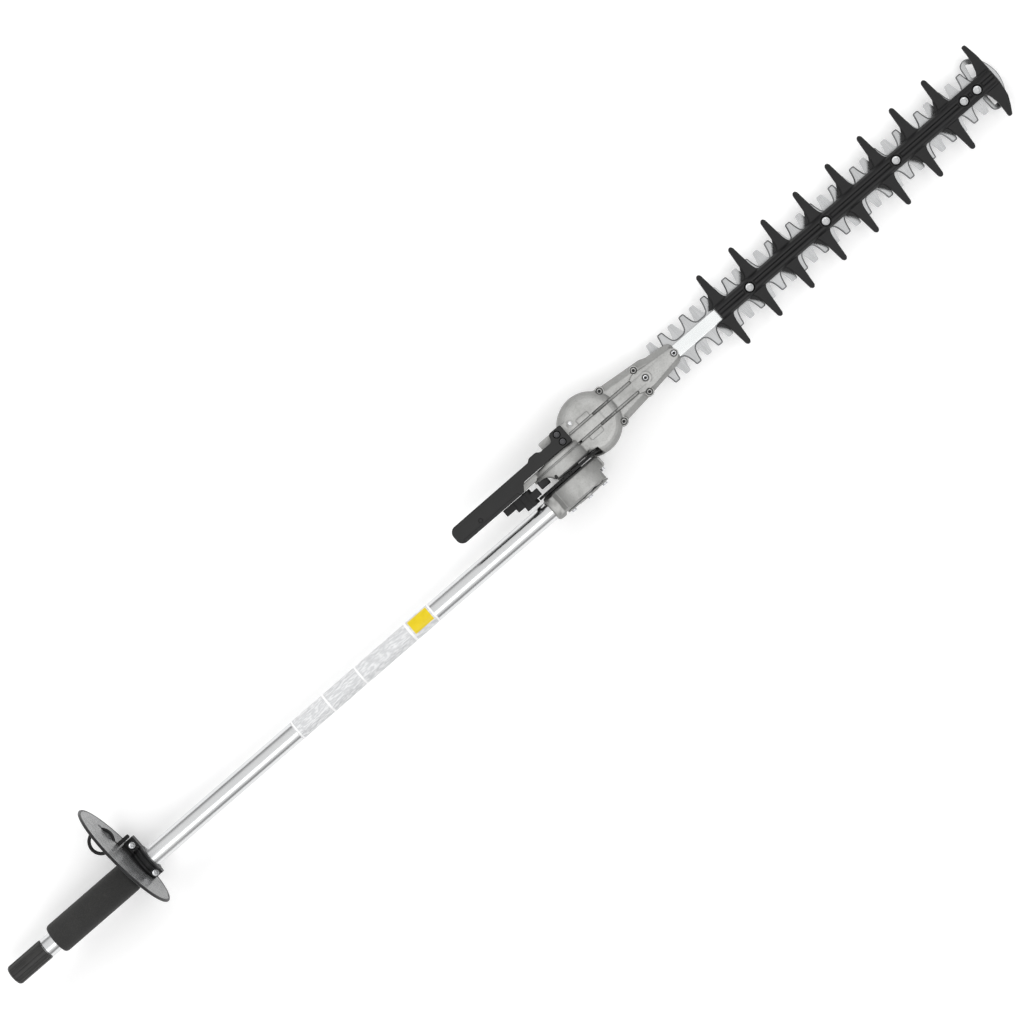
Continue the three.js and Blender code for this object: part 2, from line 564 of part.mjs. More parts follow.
// A bar screw with its locknut, which holds guard, bar and blades together.
function barScrew(nutTop, length) {
  return join(screw(4.9, 2.8, 2.3, length), bar('z', 5, [nutTop - 3.6, nutTop], [0, 0], 6));
}

function buildHead(parent) {
  const { upper, lower } = headCases();
  add(parent, 'head_case_upper', upper, 'casting');
  add(parent, 'head_case_lower', lower, 'casting');
  CASE_SCREWS.forEach(([x, y], i) => {
    const head = caseTop(x) - HEAD_SINK + GAP;
    add(parent, `case_screw_${i + 1}`, screw(3.8, 3, 2.1, head + 31), 'steel', [x, y, head]);
  });
  add(parent, 'handle_bar', handleBar(), 'charcoal');
  HANDLE_SCREWS.forEach(([x, y], i) => {
    add(parent, `handle_screw_${i + 1}`, screw(3.8, 3, 2, 16), 'steel', [x, y, HANDLE.top - HEAD_SINK + GAP]);
  });
  add(parent, 'head_bearing', bearingRing(), 'gearSteel', [882.2, CRANK.y, 0], [0, QUARTER, 0]);
  add(parent, 'crank_bearing_upper', bearingRing(CRANK.journal), 'gearSteel', [CRANK.x, CRANK.y, 11]);
  add(parent, 'crank_bearing_lower', bearingRing(CRANK.journal), 'gearSteel', [CRANK.x, CRANK.y, -42]);
  add(parent, 'guide_bar', guideBar(), 'bright');
  add(parent, 'spiked_guard', spikedGuard(), 'plastic');
  add(parent, 'tip_guard', tipGuard(), 'bright');
  const seat = GUARD.spikeTop + GAP;
  BAR_SCREWS.forEach((x, i) => {
    const nutTop = i === 4 ? -31.8 : -27.2;
    add(parent, `bar_screw_${i + 1}`, barScrew(nutTop - seat, seat - nutTop + 4.6), 'bright',
      [x, CRANK.y, seat]);
  });
  NOSE_SCREWS.forEach((x, i) => {
    const head = caseTop(x) + 0.5 + GAP;
    add(parent, `nose_screw_${i + 1}`, screw(3.8, 2, 2.2, head + 32.5), 'steel', [x, CRANK.y, head]);
  });
  add(parent, 'lever_pin', bar('y', LEVER.pinR, [15.2, 44.2], [LEVER.x, LEVER.z], SMALL), 'steel');
  add(parent, 'lever_spring', leverSpring(), 'steel', [LEVER.x, 31.4, LEVER.z]);
  add(parent, 'lock_lever', lockLever(), 'plastic');
}

function pinionShaft() {
  const pinion = bevelGear({ teeth: 8, radius: CRANK.pinionRadius, mateRadius: CRANK.gearRadius,
    face: 7, rim: 2, phase: Math.PI / 8 });
  return join(pinion, bar('z', SHAFT_R, [19, 48], [0, 0], SMALL));
}

function crankGear() {
  const gear = bevelGear({ teeth: 24, radius: CRANK.gearRadius, mateRadius: CRANK.pinionRadius,
    face: 7, rim: 3 });
  return cut(join(gear, bar('z', 9, [8, 13], [0, 0])), bar('z', 5.3, [-5, 20], [0, 0]));
}

function crankshaft() {
  const { throwRadius, pinR } = CRANK;
  const web = 13;
  return join(bar('z', 5, [-14, 18], [0, 0]), bar('z', web, [-16.5, -13.3], [0, 0]),
    bar('z', pinR, [-22.5, -16], [throwRadius, 0], SMALL), bar('z', web, [-26.8, -22.3], [0, 0]),
    bar('z', pinR, [-32.2, -26.5], [-throwRadius, 0], SMALL), bar('z', web, [-34.4, -32], [0, 0]),
    bar('z', 5, [-42.4, -34], [0, 0]));
}

function buildHeadGears(parent) {
  const at = [CRANK.x, CRANK.y, 0];
  add(parent, 'head_gear', mitreGear(), 'gearSteel', [PIVOT_X + HEAD_GEAR_BACK, CRANK.y, 0],
    [0, QUARTER, 0]);
  add(parent, 'head_pinion_shaft', pinionShaft(), 'gearSteel', at, [0, -QUARTER, 0]);
  add(parent, 'crank_gear', crankGear(), 'gearSteel', at, [Math.PI, 0, 0]);
  add(parent, 'crankshaft', crankshaft(), 'gearSteel', at);
}

function buildBlades(parent) {
  add(parent, 'upper_blade', blade(1051, 1032.4, UPPER_BLADE_Z), 'steel');
  add(parent, 'upper_rod', connectingRod([-21.7, -17.2], [UPPER_BLADE_Z, -21]), 'gearSteel');
  add(parent, 'lower_blade', blade(1034.1, 1048.4, LOWER_BLADE_Z), 'steel');
  add(parent, 'lower_rod', connectingRod([-31.6, -27.1], [-28, LOWER_BLADE_Z + BLADE.thick]), 'gearSteel');
}

const trimmer = new THREE.Group();
const pole = new THREE.Group();
const drive = new THREE.Group();
const head = new THREE.Group();
buildPole(pole);
buildDrive(drive);
buildHead(head);
buildHeadGears(head);
buildBlades(head);
trimmer.add(pole, drive, head);

export default trimmer;
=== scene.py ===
import json
import math

import bmesh
import bpy
from mathutils import Matrix, Vector


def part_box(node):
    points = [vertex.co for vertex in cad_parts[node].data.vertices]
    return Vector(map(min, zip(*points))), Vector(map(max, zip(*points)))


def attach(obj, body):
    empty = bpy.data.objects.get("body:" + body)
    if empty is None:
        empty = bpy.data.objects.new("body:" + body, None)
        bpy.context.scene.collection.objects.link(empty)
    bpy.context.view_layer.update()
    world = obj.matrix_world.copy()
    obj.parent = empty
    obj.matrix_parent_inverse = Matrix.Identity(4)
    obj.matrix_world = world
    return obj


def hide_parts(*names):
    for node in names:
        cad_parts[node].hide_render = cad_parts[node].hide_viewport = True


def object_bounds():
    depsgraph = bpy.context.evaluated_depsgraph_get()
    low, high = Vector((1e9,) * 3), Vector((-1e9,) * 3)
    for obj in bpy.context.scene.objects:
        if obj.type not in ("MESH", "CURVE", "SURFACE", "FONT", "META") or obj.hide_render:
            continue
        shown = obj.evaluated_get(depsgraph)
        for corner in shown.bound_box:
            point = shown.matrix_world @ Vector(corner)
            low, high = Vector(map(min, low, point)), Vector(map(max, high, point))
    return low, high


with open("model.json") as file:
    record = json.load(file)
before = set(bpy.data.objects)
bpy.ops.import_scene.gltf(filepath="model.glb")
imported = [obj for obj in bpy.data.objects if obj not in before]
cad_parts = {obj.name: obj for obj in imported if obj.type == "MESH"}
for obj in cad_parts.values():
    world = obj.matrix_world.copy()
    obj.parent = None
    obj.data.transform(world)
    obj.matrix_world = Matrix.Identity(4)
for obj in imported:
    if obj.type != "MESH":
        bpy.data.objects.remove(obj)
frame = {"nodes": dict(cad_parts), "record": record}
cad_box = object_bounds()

MM = 0.001
TURN = 2 * math.pi


# ---- places taken from the frame ---------------------------------------------------
def corners(node):
    """Lowest and highest corner of a CAD node, in millimetres."""
    low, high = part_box(node)
    return Vector(low) / MM, Vector(high) / MM


def middle(node):
    low, high = corners(node)
    return (low + high) / 2


def joint_place(name):
    """A point on a hinge's axis, in millimetres."""
    joint = next(j for j in frame["record"]["behaviour"]["joints"] if j["name"] == name)
    return Vector(joint["pos_m"]) / MM


PIVOT = joint_place("head_tilt")
CRANK = joint_place("crank_spin")
TUBE_R = (corners("pole_tube")[1] - corners("pole_tube")[0]).y / 2


# ---- mesh tools --------------------------------------------------------------------
def along_x(x, y=0.0, z=0.0):
    return Matrix.Translation((x, y, z))


def along_y(x, y=0.0, z=0.0):
    return Matrix.Translation((x, y, z)) @ Matrix.Rotation(math.pi / 2, 4, "Z")


def along_z(x, y=0.0, z=0.0):
    return Matrix.Translation((x, y, z)) @ Matrix.Rotation(-math.pi / 2, 4, "Y")


def spin(profile, place=Matrix(), segments=72, wave=None):
    """(points, faces) of a profile of (radius, distance) turned about the local X axis.

    A profile that starts and ends on the axis is a solid; any other is closed into a ring.
    """
    points, faces, rings = [], [], []
    for radius, distance in profile:
        first = len(points)
        for i in range(segments if radius > 1e-6 else 1):
            angle = TURN * i / segments
            reach = radius + (wave(radius, distance, angle) if wave else 0.0)
            points.append(place @ Vector((distance, reach * math.cos(angle), reach * math.sin(angle))))
        rings.append(range(first, len(points)))
    solid = len(rings[0]) == len(rings[-1]) == 1
    for a, b in zip(rings, rings[1:] if solid else rings[1:] + rings[:1]):
        for i in range(segments):
            j = (i + 1) % segments
            face = tuple(dict.fromkeys((a[i % len(a)], a[j % len(a)], b[j % len(b)], b[i % len(b)])))
            if len(face) > 2:
                faces.append(face)
    return points, faces


def rod(radius, start, end, place=Matrix(), segments=72, edge=0.0):
    """A round bar between two distances along its axis, its ends chamfered by edge."""
    chamfer = [(radius, start + edge), (radius, end - edge)] if edge else []
    profile = [(0, start), (radius - edge, start), *chamfer, (radius - edge, end), (0, end)]
    return spin(profile, place, segments)


def tube(outer, inner, start, end, place=Matrix(), segments=72, edge=0.3):
    return spin([(inner, start), (outer - edge, start), (outer, start + edge), (outer, end - edge),
                 (outer - edge, end), (inner, end)], place, segments)


def slab(outline, low, high, bevel=0.0, steps=2, plane="xy"):
    """(points, faces) of an outline with thickness; the rim edges of both faces are rounded."""
    build = bmesh.new()
    ring = [build.verts.new((a, b, low)) for a, b in outline]
    build.faces.new(ring)
    made = bmesh.ops.extrude_face_region(build, geom=build.faces[:])
    top = [g for g in made["geom"] if isinstance(g, bmesh.types.BMVert)]
    bmesh.ops.translate(build, verts=top, vec=(0, 0, high - low))
    bmesh.ops.recalc_face_normals(build, faces=build.faces)
    if bevel:
        rims = [e for e in build.edges if abs(e.verts[0].co.z - e.verts[1].co.z) < 1e-6]
        bmesh.ops.bevel(build, geom=rims, offset=bevel, offset_type="OFFSET", segments=steps,
                        profile=0.5, affect="EDGES", clamp_overlap=True)
    swap = {"xy": lambda v: Vector((v.x, v.y, v.z)), "xz": lambda v: Vector((v.x, v.z, v.y)),
            "yz": lambda v: Vector((v.z, v.x, v.y))}[plane]
    build.verts.index_update()
    points = [swap(v.co) for v in build.verts]
    faces = [tuple(v.index for v in f.verts) for f in build.faces]
    build.free()
    return points, faces


def rectangle(x, y):
    return [(x[0], y[0]), (x[1], y[0]), (x[1], y[1]), (x[0], y[1])]


def cuboid(x, y, z):
    return slab(rectangle(x, y), *z)


def rounded(outline, radii, steps=5):
    """An outline whose corners are rounded by the given radius or list of radii."""
    count = len(outline)
    sizes = radii if isinstance(radii, (list, tuple)) else [radii] * count
    result = []
    for i, corner in enumerate(outline):
        here = Vector(corner)
        before = Vector(outline[i - 1]) - here
        after = Vector(outline[(i + 1) % count]) - here
        size = min(sizes[i], 0.49 * before.length, 0.49 * after.length)
        if size <= 0.01:
            result.append(tuple(here))
            continue
        start, end = here + before.normalized() * size, here + after.normalized() * size
        for k in range(steps + 1):
            t = k / steps
            result.append(tuple((1 - t) ** 2 * start + 2 * t * (1 - t) * here + t * t * end))
    return result


def arc(x, y, radius, start, end, steps):
    """Points from the angle start to the angle end, in degrees."""
    angles = [math.radians(start + (end - start) * k / steps) for k in range(steps + 1)]
    return [(x + radius * math.cos(angle), y + radius * math.sin(angle)) for angle in angles]


def raw_object(name, part):
    points, faces = part
    mesh = bpy.data.meshes.new(name)
    mesh.from_pydata([tuple(Vector(p) * MM) for p in points], [], faces)
    build = bmesh.new()
    build.from_mesh(mesh)
    bmesh.ops.remove_doubles(build, verts=build.verts, dist=1e-7)
    bmesh.ops.recalc_face_normals(build, faces=build.faces)
    build.to_mesh(mesh)
    build.free()
    made = bpy.data.objects.new(name, mesh)
    bpy.context.scene.collection.objects.link(made)
    return made


def settle(made):
    """Applies an object's modifiers to its mesh."""
    graph = bpy.context.evaluated_depsgraph_get()
    mesh = bpy.data.meshes.new_from_object(made.evaluated_get(graph))
    made.modifiers.clear()
    old = made.data
    made.data = mesh
    bpy.data.meshes.remove(old)
    mesh.name = made.name


def carve(made, operation, *parts):
    """Cuts closed shapes out of an object, joins them on, or keeps what they share."""
    for part in parts:
        tool = raw_object("tool", part)
        change = made.modifiers.new("carve", "BOOLEAN")
        change.operation = operation
        change.solver = "MANIFOLD"
        change.object = tool
        settle(made)
        bpy.data.objects.remove(tool)


def add(made, *parts):
    carve(made, "UNION", *parts)


def cut(made, *parts):
    carve(made, "DIFFERENCE", *parts)


def part_of(made):
    """An object's mesh as (points, faces) in millimetres."""
    return [v.co / MM for v in made.data.vertices], [tuple(f.vertices) for f in made.data.polygons]


def cut_part(part, *tools):
    """A part with other closed parts cut away from it."""
    made = raw_object("blank", part)
    cut(made, *tools)
    result = part_of(made)
    bpy.data.objects.remove(made)
    return result


def moulded(made, voxel, rounds, *finish, crease=60):
    """Rebuilds a piece on a fine grid and smooths it, as a mould or casting leaves it, then dresses it."""
    grid = made.modifiers.new("grid", "REMESH")
    grid.mode = "VOXEL"
    grid.voxel_size = voxel * MM
    smooth = made.modifiers.new("smooth", "SMOOTH")
    smooth.factor = 0.5
    smooth.iterations = rounds
    settle(made)
    dress(made, *finish, crease=crease)


def dress(made, material, body, slot, replaced=(), crease=32.0, weighted=False):
    """Gives a piece its material, unless it has its own, its shading, and its body."""
    if material:
        made.data.materials.clear()
        made.data.materials.append(material)
    build = bmesh.new()
    build.from_mesh(made.data)
    limit = math.radians(crease)
    for face in build.faces:
        face.smooth = True
    for edge in build.edges:
        edge.smooth = len(edge.link_faces) == 2 and edge.calc_face_angle(0) < limit
    build.to_mesh(made.data)
    build.free()
    if weighted:
        made.modifiers.new("weighted", "WEIGHTED_NORMAL").keep_sharp = True
    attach(made, body)
    if replaced:
        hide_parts(*replaced)
    return made


def piece(name, part, material, body, slot, replaced=(), crease=32.0, weighted=True):
    return dress(raw_object(name, part), material, body, slot, replaced, crease, weighted)


# ---- materials ---------------------------------------------------------------------
def fill(node, values):
    """Sets a node's sockets; an underscore in a name stands for a space."""
    for name, value in values.items():
        node.inputs[name.replace("_", " ")].default_value = value


def set_ramp(node, stops):
    """Sets a colour ramp's marks to the stops, each (position, colour), in rising order."""
    marks = node.color_ramp.elements
    while len(marks) < len(stops):
        marks.new(0.5)
    for mark, (position, colour) in zip(marks, stops):
        mark.position = position
        mark.color = (*colour, 1)


class Surface:
    """A principled material whose colour, roughness and bump come from procedural nodes."""

    def __init__(self, name, colour, metallic=0.0, roughness=0.5, **fixed):
        self.material = bpy.data.materials.new(name)
        self.material.use_nodes = True
        self.tree = self.material.node_tree
        self.shader = self.tree.nodes["Principled BSDF"]
        fill(self.shader, {"Base_Color": (*colour, 1), "Metallic": metallic, "Roughness": roughness, **fixed})
        self.coords = self.tree.nodes.new("ShaderNodeTexCoord").outputs["Object"]
        self.height = None

    def link(self, source, target):
        self.tree.links.new(source, target)

    def node(self, kind, source, socket="Vector", **values):
        """A new node of a kind, fed by source, with its other sockets set to values."""
        made = self.tree.nodes.new(kind)
        fill(made, values)
        self.link(source, made.inputs[socket])
        return made

    def stretched(self, scale):
        """Object coordinates scaled unevenly along X, Y and Z."""
        return self.node("ShaderNodeMapping", self.coords, Scale=scale).outputs["Vector"]

    def noise(self, scale, detail=4.0, rough=0.55, coords=None):
        return self.node("ShaderNodeTexNoise", coords or self.coords, Scale=scale, Detail=detail,
                         Roughness=rough).outputs["Fac"]

    def cells(self, scale):
        return self.node("ShaderNodeTexVoronoi", self.coords, Scale=scale).outputs["Distance"]

    def ramp(self, source, *stops):
        node = self.node("ShaderNodeValToRGB", source, "Fac")
        set_ramp(node, stops)
        return node.outputs["Color"]

    def spread(self, source, low, high, start=0.3, end=0.7):
        """The source's values between start and end stretched to low and high."""
        return self.node("ShaderNodeMapRange", source, "Value", From_Min=start, From_Max=end, To_Min=low,
                         To_Max=high).outputs["Result"]

    def mix(self, factor, first, second, mode="MIX"):
        node = self.tree.nodes.new("ShaderNodeMix")
        node.data_type = "RGBA"
        node.blend_type = mode
        for source, socket in ((factor, node.inputs[0]), (first, node.inputs[6]), (second, node.inputs[7])):
            if isinstance(source, tuple):
                socket.default_value = (*source, 1)
            elif isinstance(source, float):
                socket.default_value = source
            else:
                self.link(source, socket)
        return node.outputs[2]

    def edges(self, low=0.52, high=0.62):
        """Near 1 on outward edges, where a surface wears."""
        geometry = self.tree.nodes.new("ShaderNodeNewGeometry")
        return self.spread(geometry.outputs["Pointiness"], 0.0, 1.0, low, high)

    def hollows(self, low=0.40, high=0.49):
        """Near 1 in inward corners, where painted shade goes."""
        geometry = self.tree.nodes.new("ShaderNodeNewGeometry")
        return self.spread(geometry.outputs["Pointiness"], 1.0, 0.0, low, high)

    def sides(self, low=0.55, high=0.96):
        """Near 1 on a piece's upright sides, near 0 on the flats that face up or down; the casting uses it to
        paint shade on its sides.
        """
        split = self.node("ShaderNodeSeparateXYZ", self.coords.node.outputs["Normal"])
        size = self.tree.nodes.new("ShaderNodeMath")
        size.operation = "ABSOLUTE"
        self.link(split.outputs["Z"], size.inputs[0])
        return self.spread(size.outputs["Value"], 1.0, 0.0, low, high)

    def colour(self, source):
        self.link(source, self.shader.inputs["Base Color"])
        return self

    def rough(self, source):
        self.link(source, self.shader.inputs["Roughness"])
        return self

    def bump(self, source, distance, strength=1.0):
        """Adds a bump layer; distance is its depth in millimetres."""
        node = self.node("ShaderNodeBump", source, "Height", Strength=strength, Distance=distance * MM)
        if self.height:
            self.link(self.height, node.inputs["Normal"])
        self.height = node.outputs["Normal"]
        self.link(self.height, self.shader.inputs["Normal"])
        return self


def clouded(name, tones, metallic, cloud, gloss, grain, stops=(0.3, 0.7), **fixed):
    """A finish whose tone and gloss drift together, over a fine grain.

    tones and gloss are (low, high); cloud is the drift's noise, grain the bump's (scale, depth, strength).
    """
    made = Surface(name, tones[1], metallic, gloss[0], **fixed)
    drift = made.noise(*cloud)
    made.colour(made.ramp(drift, *zip(stops, tones)))
    made.rough(made.spread(drift, *gloss))
    scale, depth, strength = grain
    return made.bump(made.noise(scale, 3), depth, strength).material


def tube_aluminium():
    made = Surface("tube_aluminium", (0.7, 0.705, 0.71), 1.0, 0.2)
    drawn = made.noise(260, 3, 0.6, made.stretched((0.02, 1, 1)))
    smudge = made.noise(14, 4, 0.6, made.stretched((0.5, 1, 1)))
    made.colour(made.ramp(smudge, (0.3, (0.66, 0.665, 0.67)), (0.7, (0.74, 0.745, 0.75))))
    made.rough(made.spread(made.mix(0.5, drawn, smudge), 0.13, 0.3))
    return made.bump(drawn, 0.02, 0.6).bump(made.noise(900, 2), 0.006, 0.5).material


def foam_rubber():
    made = Surface("foam_rubber", (0.028, 0.028, 0.027), 0.0, 0.85, Specular_IOR_Level=0.25,
                   Sheen_Weight=0.08, Sheen_Roughness=0.5)
    pores = made.cells(900)
    cloud = made.noise(35, 4)
    made.colour(made.ramp(made.mix(0.35, cloud, pores), (0.25, (0.02, 0.02, 0.0195)),
                          (0.7, (0.04, 0.04, 0.039))))
    made.rough(made.spread(cloud, 0.72, 0.92))
    return made.bump(pores, 0.18, 0.7).bump(made.noise(240, 4), 0.12, 0.5).material


def smoky_plastic():
    made = Surface("smoky_plastic", (0.16, 0.162, 0.165), 0.0, 0.2, Transmission_Weight=0.35, IOR=1.49,
                   Specular_IOR_Level=0.35)
    haze = made.noise(18, 5, 0.6)
    scuffs = made.noise(420, 3, 0.6, made.stretched((1, 0.15, 1)))
    made.colour(made.ramp(haze, (0.3, (0.12, 0.122, 0.125)), (0.7, (0.2, 0.203, 0.206))))
    made.rough(made.spread(made.mix(0.5, haze, scuffs), 0.14, 0.36))
    return made.bump(scuffs, 0.004, 0.4).material


def black_nylon(name="black_nylon"):
    made = Surface(name, (0.008, 0.008, 0.0085), 0.0, 0.45, Specular_IOR_Level=0.3)
    grain = made.cells(1500)
    wear = made.noise(45, 5, 0.65)
    tone = made.ramp(wear, (0.35, (0.006, 0.006, 0.0063)), (0.75, (0.013, 0.013, 0.0135)))
    made.colour(made.mix(made.edges(), tone, (0.03, 0.03, 0.031)))
    made.rough(made.spread(wear, 0.32, 0.55))
    return made.bump(grain, 0.06, 0.45).bump(made.noise(180, 3), 0.05, 0.3).material


def powder_coat():
    made = Surface("powder_coat", (0.024, 0.024, 0.024), 0.0, 0.6, Specular_IOR_Level=0.25)
    peel = made.noise(520, 2, 0.5)
    cloud = made.noise(24, 5, 0.6)
    tone = made.ramp(cloud, (0.3, (0.018, 0.018, 0.018)), (0.75, (0.028, 0.028, 0.028)))
    made.colour(made.mix(made.edges(0.54, 0.66), tone, (0.055, 0.055, 0.055)))
    made.rough(made.spread(cloud, 0.45, 0.65))
    return made.bump(peel, 0.06, 0.6).material


def cast_aluminium():
    made = Surface("cast_aluminium", (0.5, 0.5, 0.49), 0.55, 0.5, Specular_IOR_Level=0.4)
    cloud = made.noise(28, 6, 0.7)
    grain = made.noise(620, 4, 0.7)
    speck = made.cells(300)
    tone = made.ramp(cloud, (0.3, (0.3, 0.3, 0.29)), (0.48, (0.44, 0.44, 0.43)), (0.7, (0.55, 0.55, 0.54)))
    tone = made.mix(made.spread(grain, 0.0, 0.55, 0.5, 0.75), tone, (0.3, 0.3, 0.29))
    tone = made.mix(made.spread(speck, 0.4, 0.0, 0.02, 0.2), tone, (0.22, 0.22, 0.21))
    # painted shade: the casting's upright sides are darkened, as if less lit than its tops
    tone = made.mix(made.spread(made.sides(), 0.0, 0.6, 0.0, 1.0), tone, (0.2, 0.2, 0.195))
    # painted shade: the casting's inward corners are darkened
    tone = made.mix(made.hollows(), tone, (0.14, 0.14, 0.135))
    made.colour(made.mix(made.edges(), tone, (0.68, 0.68, 0.67)))
    made.rough(made.spread(made.mix(0.5, cloud, grain), 0.4, 0.65))
    return made.bump(grain, 0.1, 0.6).bump(made.noise(130, 5), 0.2, 0.4).material


def ground_steel(name="ground_steel", tone=(0.53, 0.535, 0.54), low=0.2, high=0.34):
    made = Surface(name, tone, 1.0, 0.28)
    lines = made.noise(420, 3, 0.65, made.stretched((1, 0.03, 1)))
    cloud = made.noise(30, 4)
    dark = tuple(0.86 * c for c in tone)
    made.colour(made.ramp(made.mix(0.4, cloud, lines), (0.3, dark), (0.65, tone)))
    made.rough(made.spread(made.mix(0.5, lines, cloud), low, high))
    return made.bump(lines, 0.012, 0.6).material


def bright_plate():
    made = Surface("bright_plate", (0.93, 0.95, 0.95), 1.0, 0.14)
    lines = made.noise(360, 3, 0.6, made.stretched((0.03, 1, 1)))
    cloud = made.noise(16, 4)
    made.colour(made.ramp(cloud, (0.3, (0.88, 0.905, 0.905)), (0.7, (0.95, 0.965, 0.965))))
    made.rough(made.spread(made.mix(0.5, lines, cloud), 0.1, 0.24))
    return made.bump(lines, 0.01, 0.5).material


def label_paper():
    """Pale printed film: faint plain rows across the pole, with no lettering."""
    made = Surface("label_paper", (0.66, 0.67, 0.68), 0.0, 0.4, Specular_IOR_Level=0.3)
    rows = made.tree.nodes.new("ShaderNodeTexWave")
    rows.bands_direction = "Y"
    rows.inputs["Scale"].default_value = 330
    rows.inputs["Distortion"].default_value = 0.4
    made.link(made.coords, rows.inputs["Vector"])
    broken = made.noise(1.0, 2, 0.5, made.stretched((150, 700, 700)))
    ink = made.mix(1.0, made.spread(rows.outputs["Fac"], 0.0, 1.0, 0.55, 0.7),
                   made.spread(broken, 0.0, 1.0, 0.42, 0.5), "MULTIPLY")
    made.colour(made.mix(ink, (0.76, 0.765, 0.77), (0.36, 0.365, 0.38)))
    made.rough(made.spread(made.noise(80, 4), 0.24, 0.42))
    return made.bump(made.noise(300, 3), 0.01, 0.4).material


def floor_paper():
    made = Surface("floor_paper", (0.93, 0.93, 0.93), 0.0, 0.8, Emission_Color=(1, 1, 1, 1),
                   Emission_Strength=0.16)
    cloud = made.noise(1.2, 3)
    made.colour(made.ramp(cloud, (0.3, (0.925, 0.925, 0.925)), (0.7, (0.94, 0.94, 0.94))))
    return made.material


ALUMINIUM = tube_aluminium()
RUBBER = clouded("moulded_rubber", ((0.012, 0.012, 0.0115), (0.028, 0.0275, 0.0265)), 0.0, (60, 5, 0.65),
                 (0.34, 0.52), (1400, 0.05, 0.5), (0.35, 0.75), Specular_IOR_Level=0.45)
FOAM = foam_rubber()
SMOKE = smoky_plastic()
NYLON = black_nylon()
POWDER = powder_coat()
CAST = cast_aluminium()
STEEL = ground_steel()
GRIND = ground_steel("ground_bevel", (0.27, 0.275, 0.28), 0.3, 0.45)
BRIGHT = bright_plate()
ZINC = clouded("zinc_plate", ((0.66, 0.67, 0.70), (0.86, 0.865, 0.87)), 1.0, (160, 5, 0.65), (0.12, 0.34),
               (900, 0.012, 0.5))
BLACKED = ground_steel("blacked_steel", (0.1, 0.1, 0.105), 0.35, 0.5)
GEAR = clouded("oiled_gear_steel", ((0.24, 0.235, 0.225), (0.42, 0.42, 0.43)), 1.0, (70, 5, 0.65),
               (0.2, 0.42), (800, 0.02, 0.5), Coat_Weight=0.3, Coat_Roughness=0.12)
POLYMER = clouded("bearing_polymer", ((0.66, 0.62, 0.52), (0.76, 0.73, 0.64)), 0.0, (50, 4), (0.4, 0.6),
                  (600, 0.03, 0.4), Subsurface_Weight=0.1)
INK = {"cloud": (120, 4), "gloss": (0.26, 0.42), "grain": (500, 0.008, 0.4), "Specular_IOR_Level": 0.3}
WHITE_INK = clouded("label_white", ((0.86, 0.86, 0.86), (0.9, 0.9, 0.9)), 0.0, **INK)
YELLOW_INK = clouded("label_yellow", ((0.70, 0.52, 0.01), (0.78, 0.60, 0.012)), 0.0, **INK)
PAPER = label_paper()
RIM = black_nylon("disc_rim")


# ---- fasteners ---------------------------------------------------------------------
# A socket's reach across its screw's head, both as radii.
SOCKET = 0.62


def hex_recess(radius, top, depth):
    """Bends a recess's rings to a hexagon, for spin()."""
    def wave(r, d, angle):
        if abs(r - radius) > 1e-6 or d < top - depth - 1e-6:
            return 0.0
        return radius * 0.9 / math.cos((angle % (TURN / 6)) - TURN / 12) - radius
    return wave


def cap_screw(place, head_r, head_h, shank_r, length, dome=0.5):
    """A socket-head screw: its head above the local origin, its shank below."""
    key = SOCKET * head_r
    depth = 0.6 * head_h
    profile = [(0, -length), (shank_r - 0.4, -length), (shank_r, -length + 0.4), (shank_r, 0),
               (head_r - 0.15, 0), (head_r, 0.15), (head_r, head_h - dome), (head_r - dome, head_h),
               (key + 0.35, head_h), (key, head_h - 0.25), (key, head_h - depth), (0, head_h - depth)]
    return spin(profile, place, 60, hex_recess(key, head_h, depth))


def screw_piece(name, place, head, shank, body, slot, material=None, socket=None):
    """Stands for one screw node: head is (radius, height), shank is (radius, length)."""
    made = raw_object(f"{name}_turned", cap_screw(place, *head, *shank))
    made.data.materials.append(material or ZINC)
    # the socket faces take their own material; a black one there is painted shade in the recess
    made.data.materials.append(socket or material or ZINC)
    local = place.inverted()
    for face in made.data.polygons:
        spot = local @ (face.center / MM)
        face.material_index = int(spot.x > 0.2 and math.hypot(spot.y, spot.z) < SOCKET * head[0] + 0.05)
    return dress(made, None, body, slot, [name], weighted=True)


def upright_screw(name, spot, seat, head, shank, *finish):
    """A screw along Z with its head on height seat, reaching down as far as its node does."""
    place = along_z(spot.x, spot.y, seat)
    screw_piece(name, place, head, (shank, seat - corners(name)[0].z), *finish)


# ---- pole: cap, tube, label, grip --------------------------------------------------
def end_cap():
    low, high = corners("end_cap")
    radius = (high.y - low.y) / 2
    grooves, first, depth = 12, math.radians(84.6), 0.7

    def flute(r, d, angle):
        if r < radius - 0.9 or d < 3.2 or d > high.x - 1.5:
            return 0.0
        return -depth * max(0.0, math.cos(grooves * (angle - first))) ** 3

    profile = [(0, 0), (radius - 3.4, 0), (radius - 1.7, 0.6), (radius - 0.6, 1.9), (radius - 0.1, 3.1),
               (radius, 3.3), (radius, 4.6), (radius, high.x - 1.6), (radius - 0.05, high.x - 1.4),
               (radius - 0.1, high.x - 0.4), (radius - 0.5, high.x), (10.9, high.x), (10.9, 3), (0, 3)]
    piece("end_cap_fluted", spin(profile, segments=240, wave=flute), RUBBER, "cap", "rubber", ["end_cap"])


def pole_tube():
    low, high = corners("pole_tube")
    profile = [(9.1, low.x), (10.3, low.x), (10.6, low.x + 0.3), (10.6, 49.6), (11.4, 50.2),
               (TUBE_R, 51), (TUBE_R, high.x), (11, high.x), (11, 54), (9.1, 52)]
    piece("pole_tube_drawn", spin(profile, segments=128), ALUMINIUM, "pole", "tube", ["pole_tube"])


LABEL = {"band": (433, 643), "yellow": (611, 638.5),
         "dividers": ((434, 436), (481, 483.4), (530, 532.4), (606, 609), (640.5, 642.5))}


